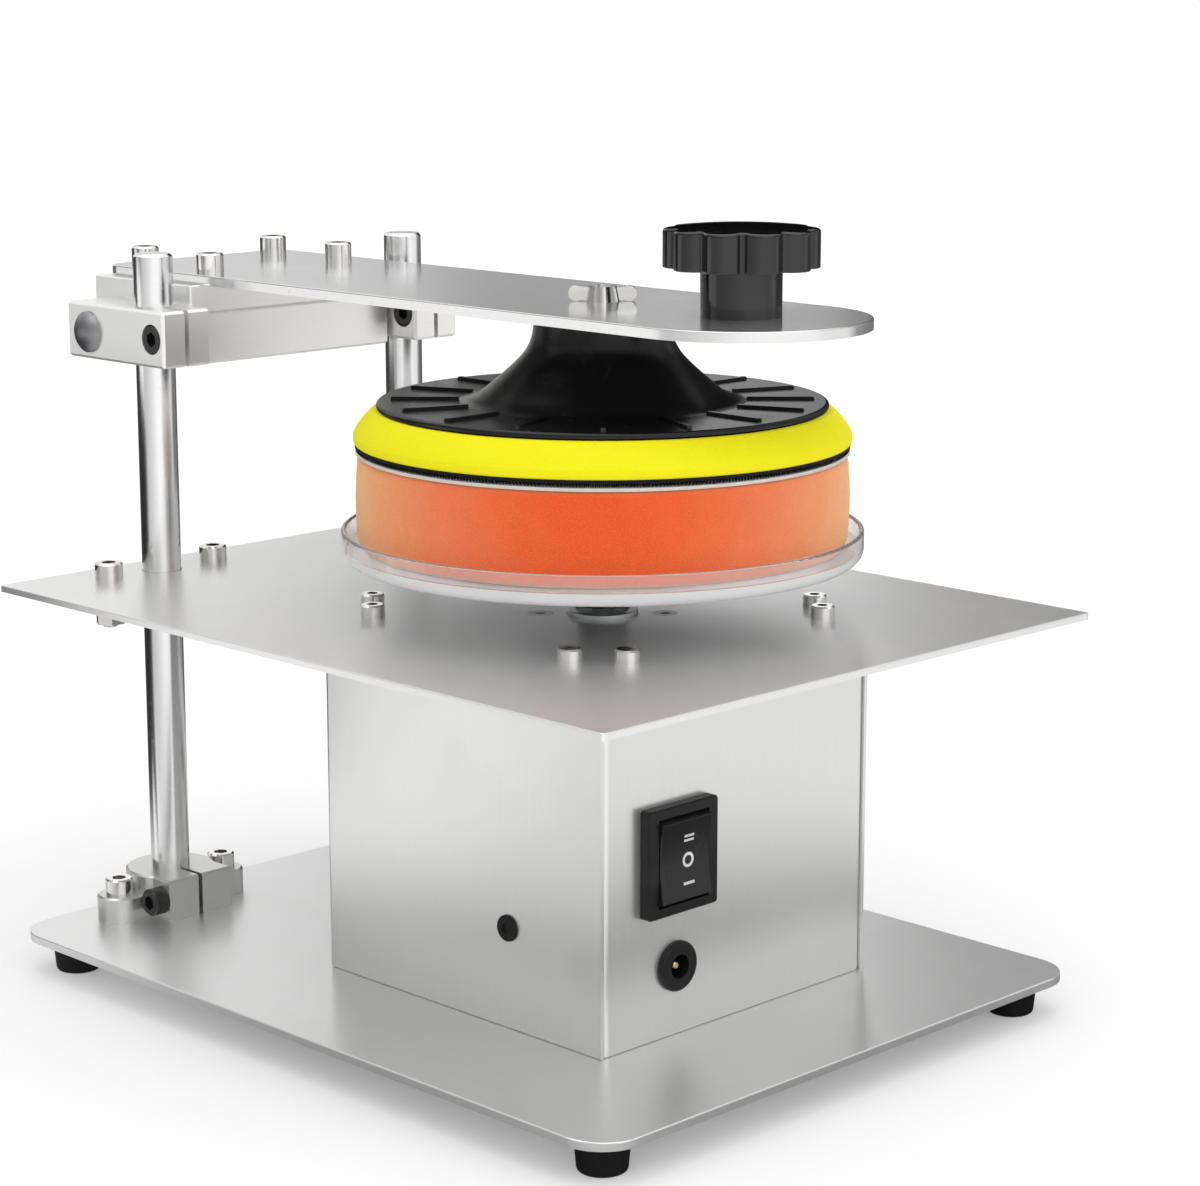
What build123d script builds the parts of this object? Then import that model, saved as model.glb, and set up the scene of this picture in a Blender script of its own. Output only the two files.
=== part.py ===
from build123d import *
from math import cos, radians, sin, sqrt
import os

# Disc repair machine, in millimetres, +Z up.
# The origin is the middle of the base plate, on the surface that the feet stand on.
# The front, with the switch and the inlet, faces -Y.

os.makedirs("parts", exist_ok=True)

# ---- clearances and fits ----
running_fit = 0.05      # radial, a shaft or pivot that turns in its bore
clamp_fit = 0.02        # radial, a split bore closed on its post
thread_fit = 0.03       # radial, a screw in the thread that it is driven into
bolt_clearance = 0.25   # radial, a screw in its clearance hole
side_clearance = 0.25   # a moving face beside a fixed one
post_clearance = 0.2    # radial, a post through the deck plate
foam_clearance = 0.3    # soft sponge above the platter at rest
seam_gap = 0.15         # between two welded sheets, or a screw head and the casting beside it
part_gap = 0.3          # moulded piece in its cut-out
glue_film = 0.05        # between two bonded acrylic faces

# ---- base and deck plates ----
plate_width = 200.0
plate_depth = 257.0
base_thick = 2.5
base_corner = 13.0
deck_thick = 2.0
deck_corner = 1.0
plate_edge = 0.4

# ---- feet ----
foot_height = 10.5
foot_top_dia = 15.5
foot_bottom_dia = 13.5
foot_edge = 1.2
foot_cup_dia = 5.4
foot_inset = 14.0
tape_thick = 0.8
tape_inset = 0.75

# ---- motor housing ----
box_width = 110.0
box_depth = 114.0
box_height = 106.2
box_front_inset = 45.5      # from the front edge of the plates
sheet = 1.2
fold_outside = 1.8
fold_edge = 0.9
flange_width = 10.5
front_return = 12.0
corner_relief = 1.0

# ---- what every screw shares ----
hexagon = 6
screw_bevel = 0.5

# ---- M4 housing screws, eight above and eight below ----
m4_dia = 4.0
m4_head_dia = 7.0
m4_head_height = 3.7
m4_hex = 3.0
box_screw_inset = 4.8       # from the outer face of the housing
front_screw_corner = 15.0   # along a wall, from the corner to the screw
side_screw_corner = 16.6
box_screw_tail = 1.3
clinch_dia = 6.4
clinch_height = 3.0

# ---- M5 screws and nuts ----
m5_dia = 5.0
m5_head_dia = 8.5
m5_head_height = 5.0
m5_hex = 4.0
m5_nut_flats = 8.0
m5_nut_height = 4.0
m5_tail = 1.0

# ---- posts and their supports ----
post_dia = 12.0
post_above_arm = 7.4
post_chamfer = 0.8
post_inset = 15.0           # from the back edge of the plates
support_wall = 8.0
support_height = 13.0
support_ear_height = 8.0
support_bolt_room = 6.0     # from the hub to a bolt's axis
support_screw_room = 5.3    # from the post to the clamp screw's axis
support_lug_wall = 3.9      # from the clamp screw's axis to the front of the lug
support_slit = 1.5
support_edge = 0.6

# ---- motor and spindle ----
spindle_forward = 3.0       # in front of the middle of the housing
motor_dia = 50.0
motor_can_length = 55.0
motor_wall = 2.0
bell_thick = 4.0
boss_dia = 20.4
boss_above_deck = 1.4
boss_pocket_dia = 15.6
boss_pocket_depth = 2.0
shaft_dia = 6.0
shaft_end_gap = 0.5
magnet_thick = 3.5
magnet_length = 36.0
magnet_space = 17.0
air_gap = 0.8
armature_length = 34.0
armature_slots = 5
slot_width = 3.0
slot_depth = 8.0
cap_height = 6.0
cap_inset = 3.0
motor_screw_inset = 7.0
motor_screw_length = 5.5
motor_screw_turn = 45.0
m4_sunk_dia = 7.6
blade_width = 6.3
blade_thick = 0.8
blade_length = 8.0
blade_pitch = 8.0
blade_count = 3

# ---- platter, hub and disc pin ----
platter_gap = 17.0          # from the deck to the platter
platter_floor_thick = 4.0
platter_rim_height = 9.0
platter_wall = 1.4
platter_corner = 3.6
sponge_side_gap = 3.1
hub_flange_dia = 48.0
hub_flange_thick = 3.0
hub_boss_dia = 14.6
hub_boss_gap = 1.2
set_screw_hex = 2.0
set_screw_recess = 0.3
pin_dia = 14.9              # for the 15 mm hole of a disc
pin_height = 4.5
pin_chamfer = 0.8
spigot_dia = 8.0
spigot_depth = 2.5
m3_dia = 3.0
m3_head_dia = 6.0
m3_length = 6.5
m3_hex = 2.0
platter_screw_inset = 6.0
platter_screw_count = 3

# ---- pad stack, from the platter up ----
sponge_dia = 141.0
sponge_thick = 26.3
sponge_belly = 0.5
sponge_edge = 1.6
pin_side_room = 4.55
pin_head_room = 5.5
loop_thick = 1.0
hook_thick = 2.2
hook_inset = 0.4
layer_edge = 0.3
yellow_dia = 142.6
yellow_thick = 9.5
yellow_wall = 2.4
yellow_lip = 1.0
yellow_shoulder = 1.9
rim_disc_dia = 129.0
rim_disc_thick = 2.0
backing_height = 27.1
neck_top_dia = 39.0
flare_foot_radius = 41.0
flare_middle_radius = 31.4
flare_middle_height = 5.1
flare_upper_radius = 23.0
flare_upper_height = 12.9
flare_foot_slope = 0.1
backing_ribs = 16
rib_thick = 1.4
rib_height = 0.9
rib_end_inset = 3.5

# ---- arm ----
arm_plate_thick = 3.0
arm_plate_width = 72.0
arm_back_corner = 6.0
bar_length = 80.5
bar_depth = 49.0
bar_height = 16.0
bar_edge = 0.8
bar_before_post = 4.5
riser_thick = 8.6
riser_step = 0.25
arm_bolt_inset = 8.0
arm_bolt_spread = 52.0
arm_bolt_bite = 12.4
arm_bolt_head = 5.6

# ---- height clamps and the pivot ----
clamp_wall = 3.0
clamp_height = 17.1
clamp_screw_room = 4.0
clamp_nose = 6.0
clamp_tail = 11.0
clamp_slit = 1.6
clamp_edge = 0.8
clamp_head_gap = 0.35
clamp_above_pivot = 0.25
pivot_behind_post = 21.5
pivot_rise = 10.0
pivot_dia = 8.0
pivot_head_dia = 12.6
pivot_head_height = 3.6
pivot_rim = 0.8
pivot_dome_drop = 0.55
pivot_reach = 14.0
washer_dia = 15.0
washer_thick = 1.0

# ---- knob ----
knob_forward = 53.0         # in front of the spindle
knob_hub_dia = 22.4
knob_hub_height = 13.2
knob_head_height = 11.8
knob_core_dia = 35.0
knob_lobes = 10
knob_lobe_dia = 11.2
knob_lobe_centre = 15.8
knob_lobe_turn = 25.0
knob_valley = 1.2
knob_dome = 1.2
knob_edge = 0.9
knob_screw_dia = 6.0
knob_screw_bite = 9.0
button_head_dia = 10.5
button_head_height = 3.3

# ---- wing nut and stud ----
stud_dia = 6.0
stud_depth = 15.0
wing_boss_wall = 1.9
wing_boss_taper = 0.9
wing_boss_height = 4.4
wing_span = 19.4
wing_height = 4.2
wing_thick = 2.0
wing_foot = 0.4
wing_reach = 6.4
wing_turn = -45.0

# ---- rocker switch ----
switch_x = -26.0
switch_rise = 52.0
switch_wall = 1.4
switch_body_depth = 22.0
bezel_lip_side = 2.35
bezel_lip_end = 1.5
bezel_proud = 3.5
bezel_edge = 1.2
rocker_width = 19.4
rocker_end_radius = 12.3
rocker_stand = 1.5
rocker_dip = 1.2
rocker_back = 4.0
rocker_back_height = 14.0
rocker_well_depth = 7.0
trunnion_dia = 3.0
trunnion_length = 1.0
snap_proud = 1.0
snap_length = 12.0
snap_run = 4.0

# ---- inlet and plug ----
inlet_x = -25.5
inlet_rise = 20.3
inlet_body_dia = 11.2
inlet_body_depth = 14.0
inlet_flange_lip = 1.65
inlet_proud = 1.75
inlet_bore_dia = 7.0
inlet_bore_depth = 10.0
inlet_pin_dia = 2.1
inlet_pin_back = 1.5
inlet_pin_bevel = 0.25
inlet_nut_wall = 1.4
inlet_nut_height = 2.5
plug_behind_front = 36.3
plug_rise = 29.6
plug_dia = 7.6
plug_dish_dia = 3.0
plug_neck_dia = 5.0
plug_proud = 1.0
plug_barb_dia = 6.2
plug_barb_depth = 1.6
plug_taper = 15.0

# ---- levels, from the table up ----
base_top = foot_height + base_thick
deck_underside = base_top + box_height
deck_top = deck_underside + deck_thick
platter_underside = deck_top + platter_gap
platter_floor = platter_underside + platter_floor_thick
sponge_underside = platter_floor + foam_clearance
loop_underside = sponge_underside + sponge_thick
hook_underside = loop_underside + loop_thick
yellow_underside = hook_underside + hook_thick
backing_underside = yellow_underside + yellow_thick
arm_underside = backing_underside + backing_height
arm_top = arm_underside + arm_plate_thick
bar_top = arm_underside - riser_thick
bar_underside = bar_top - bar_height
pivot_z = bar_underside + pivot_rise
clamp_middle_z = pivot_z + clamp_above_pivot
post_length = arm_top + post_above_arm - base_top
motor_bottom = deck_underside - bell_thick - motor_can_length
switch_z = base_top + switch_rise
inlet_z = base_top + inlet_rise
plug_z = base_top + plug_rise

# ---- places from front to back ----
box_front = box_front_inset - plate_depth / 2
box_back = box_front + box_depth
box_middle_y = box_front + box_depth / 2
spindle_y = box_middle_y - spindle_forward
knob_y = spindle_y - knob_forward
post_y = plate_depth / 2 - post_inset
pivot_y = post_y + pivot_behind_post
bar_front = post_y - bar_before_post
bar_middle_y = bar_front + bar_depth / 2
arm_plate_back = bar_front + bar_depth
plug_y = box_front + plug_behind_front

# ---- places from side to side ----
clamp_width = post_dia + 2 * clamp_wall
clamp_inner_x = bar_length / 2 + side_clearance + washer_thick
clamp_outer_x = clamp_inner_x + clamp_width
post_x = clamp_inner_x + clamp_width / 2

# ---- directions and axes ----
down = (0, 0, -1)
spindle_axis = Axis((0, spindle_y, 0), (0, 0, 1))

# ---- places of what repeats ----
foot_x = plate_width / 2 - foot_inset
foot_y = plate_depth / 2 - foot_inset
foot_places = [(x, y) for x in (-foot_x, foot_x) for y in (-foot_y, foot_y)]

front_row_x = box_width / 2 - front_screw_corner
side_row_y = box_depth / 2 - side_screw_corner
row_x = box_width / 2 - box_screw_inset
row_y = box_depth / 2 - box_screw_inset
box_screw_places = [(x, box_middle_y + y) for x in (-front_row_x, front_row_x) for y in (-row_y, row_y)]
box_screw_places += [(x, box_middle_y + y) for x in (-row_x, row_x) for y in (-side_row_y, side_row_y)]

support_hub_radius = post_dia / 2 + support_wall
support_bolt_reach = support_hub_radius + support_bolt_room
post_places = [(-post_x, post_y), (post_x, post_y)]
support_bolt_places = [(x + side * support_bolt_reach, y) for x, y in post_places for side in (-1, 1)]
motor_screw_radius = motor_dia / 2 - motor_screw_inset
motor_screw_x = motor_screw_radius * cos(radians(motor_screw_turn))
motor_screw_y = motor_screw_radius * sin(radians(motor_screw_turn))
motor_screw_places = [(side * motor_screw_x, spindle_y - side * motor_screw_y) for side in (-1, 1)]
arm_bolt_places = [
    (side * arm_bolt_spread / 2, y)
    for side in (-1, 1)
    for y in (bar_front + arm_bolt_inset, arm_plate_back - arm_bolt_inset)
]


def at_height(places, z):
    """The same places, lifted to one height."""
    return [(x, y, z) for x, y in places]


def facing(origin, direction, across=None):
    """A plane at a point whose normal is the way that a screw head looks."""
    return Plane(origin=origin, x_dir=across, z_dir=direction)


# ---- fasteners, each drawn once with its head seat on Z = 0 and its shank downwards ----


def cap_screw(head_dia, head_height, shank_dia, shank_length, hex_flats):
    """A socket head cap screw."""
    with BuildPart() as screw:
        with BuildSketch():
            Circle(head_dia / 2)
        extrude(amount=head_height)
        chamfer(screw.faces().sort_by(Axis.Z)[-1].edges(), screw_bevel)
        with BuildSketch(Plane.XY.offset(head_height)):
            RegularPolygon(hex_flats / 2, hexagon, major_radius=False)
        extrude(amount=-head_height / 2, mode=Mode.SUBTRACT)
        with BuildSketch():
            Circle(shank_dia / 2)
        extrude(amount=-shank_length)
        chamfer(screw.faces().sort_by(Axis.Z)[0].edges(), screw_bevel)
    return screw.part


def sunk_screw(head_dia, shank_dia, shank_length, hex_flats):
    """A countersunk screw with its flat head level with Z = 0."""
    head_depth = (head_dia - shank_dia) / 2
    with BuildPart() as screw:
        with BuildSketch(Plane.XZ):
            Polygon((0, 0), (head_dia / 2, 0), (shank_dia / 2, -head_depth), (shank_dia / 2, -shank_length),
                    (0, -shank_length), align=None)
        revolve(axis=Axis.Z)
        with BuildSketch():
            RegularPolygon(hex_flats / 2, hexagon, major_radius=False)
        extrude(amount=-head_depth, mode=Mode.SUBTRACT)
    return screw.part


def hex_nut(flats, height, thread_dia):
    """A hexagon nut that stands on Z = 0."""
    with BuildPart() as nut:
        with BuildSketch():
            RegularPolygon(flats / 2, hexagon, major_radius=False)
            Circle(thread_dia / 2 + thread_fit, mode=Mode.SUBTRACT)
        extrude(amount=height)
    return nut.part


# ---- base plate: one sheet, round corners, drilled for the supports and the housing ----
with BuildPart() as base_plate:
    with BuildSketch(Plane.XY.offset(foot_height)):
        RectangleRounded(plate_width, plate_depth, base_corner)
    extrude(amount=base_thick)
    fillet(base_plate.edges().group_by(Axis.Z)[-1], plate_edge)
    with BuildSketch(Plane.XY.offset(foot_height)):
        with Locations(*support_bolt_places):
            Circle(m5_dia / 2 + bolt_clearance)
        with Locations(*box_screw_places):
            Circle(m4_dia / 2 + bolt_clearance)
    extrude(amount=base_thick, mode=Mode.SUBTRACT)
base_plate.part.label = "base_plate"
export_step(base_plate.part, "parts/base_plate.step")

# ---- feet: tapered rubber, each with a shallow cup below that grips the table ----
with BuildPart() as foot:
    with BuildSketch(Plane.XZ):
        with BuildLine():
            Polyline(
                (0, 0),
                (foot_bottom_dia / 2, 0),
                (foot_top_dia / 2, foot_height - tape_thick),
                (0, foot_height - tape_thick),
                close=True,
            )
        make_face()
    revolve(axis=Axis.Z)
    fillet(foot.edges().group_by(Axis.Z)[0], foot_edge)
    with BuildSketch():
        Circle(foot_cup_dia / 2)
    extrude(amount=foot_edge, mode=Mode.SUBTRACT)

with BuildPart() as rubber_feet:
    with Locations(*foot_places):
        add(foot.part)
rubber_feet.part.label = "rubber_feet"
export_step(rubber_feet.part, "parts/rubber_feet.step")

with BuildPart() as foot_tape:
    with BuildSketch(Plane.XY.offset(foot_height - tape_thick)):
        with Locations(*foot_places):
            Circle(foot_top_dia / 2 - tape_inset)
    extrude(amount=tape_thick)
foot_tape.part.label = "foot_tape"
export_step(foot_tape.part, "parts/foot_tape.step")

# ---- housing: a front panel with folded returns, inside a wrap of the other three walls ----
panel_width = box_width - 2 * (sheet + seam_gap)
front_flange_width = 2 * (front_row_x + clinch_dia / 2 + corner_relief)
side_flange_front = box_front + front_return + corner_relief
side_flange_back = box_back - flange_width - corner_relief
plan_fold = fold_outside - sheet
flange_strip = flange_width - sheet / 2
side_flange_length = side_flange_back - side_flange_front
well_width = rocker_width + 2 * part_gap
well_height = 2 * (rocker_end_radius + part_gap)
switch_body_width = well_width + 2 * switch_wall
switch_body_height = well_height + 2 * switch_wall

with BuildPart() as front_panel:
    with BuildSketch(Plane.XY.offset(base_top)):
        with Locations((0, box_front + front_return)):
            RectangleRounded(panel_width, 2 * front_return, fold_outside)
            RectangleRounded(
                panel_width - 2 * sheet, 2 * (front_return - sheet), plan_fold, mode=Mode.SUBTRACT
            )
        with Locations((0, box_front + front_return)):
            Rectangle(panel_width, 2 * front_return, align=(Align.CENTER, Align.MIN), mode=Mode.SUBTRACT)
    extrude(amount=box_height)
    for flange_z in (base_top, deck_underside - sheet):
        with BuildSketch(Plane.XY.offset(flange_z)):
            with Locations((0, box_front + sheet / 2)):
                Rectangle(front_flange_width, flange_strip, align=(Align.CENTER, Align.MIN))
        extrude(amount=sheet)
    outer_face = front_panel.faces().sort_by(Axis.Y)[0]
    fillet(outer_face.edges().filter_by(Axis.X), fold_edge)
    with BuildSketch(Plane.XY.offset(base_top)):
        with Locations(*[place for place in box_screw_places if place[1] < side_flange_front]):
            Circle(m4_dia / 2 + bolt_clearance)
    extrude(amount=box_height, mode=Mode.SUBTRACT)
    with BuildSketch(Plane.XZ.offset(-box_front)):
        with Locations((switch_x, switch_z)):
            Rectangle(switch_body_width + part_gap, switch_body_height + part_gap)
        with Locations((inlet_x, inlet_z)):
            Circle(inlet_body_dia / 2 + bolt_clearance)
    extrude(amount=-sheet, mode=Mode.SUBTRACT)
front_panel.part.label = "front_panel"
export_step(front_panel.part, "parts/front_panel.step")

with BuildPart() as housing_wrap:
    with BuildSketch(Plane.XY.offset(base_top)):
        with Locations((0, box_front)):
            RectangleRounded(box_width, 2 * box_depth, fold_outside)
            RectangleRounded(box_width - 2 * sheet, 2 * (box_depth - sheet), plan_fold, mode=Mode.SUBTRACT)
            Rectangle(box_width, 2 * box_depth, align=(Align.CENTER, Align.MAX), mode=Mode.SUBTRACT)
    extrude(amount=box_height)
    for flange_z in (base_top, deck_underside - sheet):
        with BuildSketch(Plane.XY.offset(flange_z)):
            with Locations((0, box_back - sheet / 2)):
                Rectangle(front_flange_width, flange_strip, align=(Align.CENTER, Align.MAX))
            with Locations((box_width / 2 - sheet / 2, side_flange_front)):
                Rectangle(flange_strip, side_flange_length, align=(Align.MAX, Align.MIN))
            with Locations((sheet / 2 - box_width / 2, side_flange_front)):
                Rectangle(flange_strip, side_flange_length, align=(Align.MIN, Align.MIN))
        extrude(amount=sheet)
    back_face = housing_wrap.faces().sort_by(Axis.Y)[-1]
    fillet(back_face.edges().filter_by(Axis.X), fold_edge)
    with BuildSketch(Plane.XY.offset(base_top)):
        with Locations(*[place for place in box_screw_places if place[1] > side_flange_front]):
            Circle(m4_dia / 2 + bolt_clearance)
    extrude(amount=box_height, mode=Mode.SUBTRACT)
    with BuildSketch(Plane.YZ.offset(-box_width / 2)):
        with Locations((plug_y, plug_z)):
            Circle(plug_neck_dia / 2 + thread_fit)
    extrude(amount=sheet, mode=Mode.SUBTRACT)
housing_wrap.part.label = "housing_wrap"
export_step(housing_wrap.part, "parts/housing_wrap.step")

# ---- clinch nuts, pressed into the flanges, take the housing screws ----
clinch_levels = {
    "deck_clinch_nuts": deck_underside - sheet - clinch_height,
    "base_clinch_nuts": base_top + sheet,
}
for name, level in clinch_levels.items():
    with BuildPart() as clinch_nuts:
        with BuildSketch(Plane.XY.offset(level)):
            with Locations(*box_screw_places):
                Circle(clinch_dia / 2)
                Circle(m4_dia / 2 + thread_fit, mode=Mode.SUBTRACT)
        extrude(amount=clinch_height)
    clinch_nuts.part.label = name
    export_step(clinch_nuts.part, f"parts/{name}.step")

box_screw_length = deck_thick + sheet + clinch_height + box_screw_tail
box_screw = cap_screw(m4_head_dia, m4_head_height, m4_dia, box_screw_length, m4_hex)

with BuildPart() as deck_screws:
    with Locations(*at_height(box_screw_places, deck_top)):
        add(box_screw)
deck_screws.part.label = "deck_screws"
export_step(deck_screws.part, "parts/deck_screws.step")

with BuildPart() as base_screws:
    with Locations(*[facing(place, down) for place in at_height(box_screw_places, foot_height)]):
        add(box_screw)
base_screws.part.label = "base_screws"
export_step(base_screws.part, "parts/base_screws.step")

# ---- deck plate: square corners, holes for the posts, the screws and the motor boss ----
with BuildPart() as deck_plate:
    with BuildSketch(Plane.XY.offset(deck_underside)):
        RectangleRounded(plate_width, plate_depth, deck_corner)
    extrude(amount=deck_thick)
    fillet(deck_plate.edges().group_by(Axis.Z)[-1], plate_edge)
    with BuildSketch(Plane.XY.offset(deck_underside)):
        with Locations(*post_places):
            Circle(post_dia / 2 + post_clearance)
        with Locations(*support_bolt_places):
            Circle(m5_dia / 2 + bolt_clearance)
        with Locations(*box_screw_places):
            Circle(m4_dia / 2 + bolt_clearance)
        with Locations((0, spindle_y)):
            Circle(boss_dia / 2 + post_clearance)
    extrude(amount=deck_thick, mode=Mode.SUBTRACT)
    with Locations(*at_height(motor_screw_places, deck_top)):
        CounterSinkHole(m4_dia / 2 + running_fit, m4_sunk_dia / 2 + running_fit, counter_sink_angle=90)
deck_plate.part.label = "deck_plate"
export_step(deck_plate.part, "parts/deck_plate.step")

# ---- posts: ground rod with chamfered ends ----
for name, place in zip(("left_post", "right_post"), post_places):
    with BuildPart() as post:
        with BuildSketch(Plane.XY.offset(base_top)):
            with Locations(place):
                Circle(post_dia / 2)
        extrude(amount=post_length)
        chamfer(post.edges(), post_chamfer)
    post.part.label = name
    export_step(post.part, f"parts/{name}.step")

# ---- post supports: a hub with two ears, and a lug that a slit lets the screw close ----
support_screw_front = post_dia / 2 + support_screw_room
support_lug_front = support_screw_front + support_lug_wall
support_head_back = support_screw_front - m5_head_dia / 2
support_lug_width = 2 * sqrt(support_hub_radius**2 - support_head_back**2) + seam_gap
support_ear_width = 2 * (support_head_back - seam_gap)
support_screw_length = support_lug_width - 2 * m5_tail
with BuildPart() as support:
    with BuildSketch():
        Circle(support_hub_radius)
        Rectangle(support_lug_width, support_lug_front, align=(Align.CENTER, Align.MAX))
    extrude(amount=support_height)
    chamfer(support.faces().sort_by(Axis.Z)[-1].edges(), support_edge)
    with BuildSketch():
        SlotCenterToCenter(2 * support_bolt_reach, support_ear_width)
    extrude(amount=support_ear_height)
    ear_ends = support.faces().filter_by(GeomType.CYLINDER).sort_by(Axis.X)
    for ear_end in (ear_ends[0], ear_ends[-1]):
        chamfer(ear_end.edges().sort_by(Axis.Z)[-1], support_edge)
    with BuildSketch():
        Circle(post_dia / 2 + clamp_fit)
        Rectangle(support_slit, support_lug_front, align=(Align.CENTER, Align.MAX))
        with Locations((-support_bolt_reach, 0), (support_bolt_reach, 0)):
            Circle(m5_dia / 2 + bolt_clearance)
    extrude(amount=support_height, mode=Mode.SUBTRACT)
    with BuildSketch(Plane.YZ):
        with Locations((-support_screw_front, support_height / 2)):
            Circle(m5_dia / 2 + thread_fit)
    extrude(amount=support_lug_width, both=True, mode=Mode.SUBTRACT)

left_x = -post_x
right_x = post_x
support_seats = {
    "left_base_support": Plane((left_x, post_y, base_top)),
    "right_base_support": Plane((right_x, post_y, base_top)),
    "left_deck_support": facing((left_x, post_y, deck_underside), down, (-1, 0, 0)),
    "right_deck_support": facing((right_x, post_y, deck_underside), down, (-1, 0, 0)),
}
for name, seat in support_seats.items():
    with BuildPart() as placed_support:
        with Locations(seat):
            add(support.part)
    placed_support.part.label = name
    export_step(placed_support.part, f"parts/{name}.step")

clamp_screw = cap_screw(m5_head_dia, m5_head_height, m5_dia, support_screw_length, m5_hex)
screw_y = post_y - support_screw_front
base_screw_z = base_top + support_height / 2
deck_screw_z = deck_underside - support_height / 2
with BuildPart() as support_clamp_screws:
    for x, y in post_places:
        with Locations(facing((x - support_lug_width / 2, screw_y, base_screw_z), (-1, 0, 0))):
            add(clamp_screw)
        with Locations(facing((x + support_lug_width / 2, screw_y, deck_screw_z), (1, 0, 0))):
            add(clamp_screw)
support_clamp_screws.part.label = "support_clamp_screws"
export_step(support_clamp_screws.part, "parts/support_clamp_screws.step")

# ---- bolts and nuts that hold the supports to the two plates ----
base_grip = support_ear_height + base_thick + m5_nut_height + m5_tail
deck_grip = deck_thick + support_ear_height + m5_nut_height + m5_tail
support_bolt_rows = {
    "base_support_bolts": (base_top + support_ear_height, base_grip),
    "deck_support_bolts": (deck_top, deck_grip),
}
for name, (head_seat, grip) in support_bolt_rows.items():
    with BuildPart() as support_bolts:
        with Locations(*at_height(support_bolt_places, head_seat)):
            add(cap_screw(m5_head_dia, m5_head_height, m5_dia, grip, m5_hex))
    support_bolts.part.label = name
    export_step(support_bolts.part, f"parts/{name}.step")

support_nut_rows = {
    "base_support_nuts": foot_height - m5_nut_height,
    "deck_support_nuts": deck_underside - support_ear_height - m5_nut_height,
}
for name, level in support_nut_rows.items():
    with BuildPart() as support_nuts:
        with Locations(*at_height(support_bolt_places, level)):
            add(hex_nut(m5_nut_flats, m5_nut_height, m5_dia))
    support_nuts.part.label = name
    export_step(support_nuts.part, f"parts/{name}.step")

# ---- motor: a can with a thick end bell, whose boss stands through the deck ----
with BuildPart() as motor_bell:
    with BuildSketch(Plane.XY.offset(deck_underside - bell_thick)):
        with Locations((0, spindle_y)):
            Circle(motor_dia / 2)
    extrude(amount=bell_thick)
    with BuildSketch(Plane.XY.offset(deck_underside)):
        with Locations((0, spindle_y)):
            Circle(boss_dia / 2)
    extrude(amount=deck_thick + boss_above_deck)
    boss_top = motor_bell.faces().sort_by(Axis.Z)[-1]
    fillet(boss_top.edges(), plate_edge)
    with BuildSketch(Plane.XY.offset(deck_top + boss_above_deck)):
        with Locations((0, spindle_y)):
            Circle(boss_pocket_dia / 2)
    extrude(amount=-boss_pocket_depth, mode=Mode.SUBTRACT)
    with Locations((0, spindle_y, deck_top)):
        Hole(shaft_dia / 2 + running_fit)
    with Locations(*at_height(motor_screw_places, deck_underside)):
        Hole(m4_dia / 2 + thread_fit)
motor_bell.part.label = "motor_bell"
export_step(motor_bell.part, "parts/motor_bell.step")

with BuildPart() as motor_screws:
    with Locations(*at_height(motor_screw_places, deck_top)):
        add(sunk_screw(m4_sunk_dia, m4_dia, motor_screw_length, m4_hex))
motor_screws.part.label = "motor_screws"
export_step(motor_screws.part, "parts/motor_screws.step")

with BuildPart() as motor_can:
    with BuildSketch(Plane.XY.offset(motor_bottom)):
        with Locations((0, spindle_y)):
            Circle(motor_dia / 2)
    extrude(amount=motor_can_length)
    fillet(motor_can.faces().sort_by(Axis.Z)[0].edges(), motor_wall)
    with BuildSketch(Plane.XY.offset(motor_bottom + motor_wall)):
        with Locations((0, spindle_y)):
            Circle(motor_dia / 2 - motor_wall)
    extrude(amount=motor_can_length - motor_wall, mode=Mode.SUBTRACT)
    with Locations((0, spindle_y, motor_bottom)):
        Hole(shaft_dia / 2 + running_fit)
motor_can.part.label = "motor_can"
export_step(motor_can.part, "parts/motor_can.step")

magnet_outside = motor_dia / 2 - motor_wall - running_fit
magnet_inside = magnet_outside - magnet_thick
magnet_middle = motor_bottom + motor_wall + (motor_can_length - motor_wall) / 2
with BuildPart() as motor_magnets:
    with BuildSketch(Plane.XY.offset(magnet_middle - magnet_length / 2)):
        with Locations((0, spindle_y)):
            Circle(magnet_outside)
            Circle(magnet_inside, mode=Mode.SUBTRACT)
            Rectangle(magnet_space, motor_dia, mode=Mode.SUBTRACT)
    extrude(amount=magnet_length)
motor_magnets.part.label = "motor_magnets"
export_step(motor_magnets.part, "parts/motor_magnets.step")

cap_radius = motor_dia / 2 - cap_inset
with BuildPart() as brush_cap:
    with BuildSketch(Plane.XY.offset(motor_bottom)):
        with Locations((0, spindle_y)):
            Circle(cap_radius)
    extrude(amount=-cap_height)
    fillet(brush_cap.faces().sort_by(Axis.Z)[0].edges(), motor_wall)
brush_cap.part.label = "brush_cap"
export_step(brush_cap.part, "parts/brush_cap.step")

with BuildPart() as motor_terminals:
    with BuildSketch(Plane.XY.offset(motor_bottom - cap_height)):
        with Locations((-cap_radius / 2, spindle_y), (cap_radius / 2, spindle_y)):
            Rectangle(blade_thick, blade_width)
    extrude(amount=-blade_length)
motor_terminals.part.label = "motor_terminals"
export_step(motor_terminals.part, "parts/motor_terminals.step")

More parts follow.
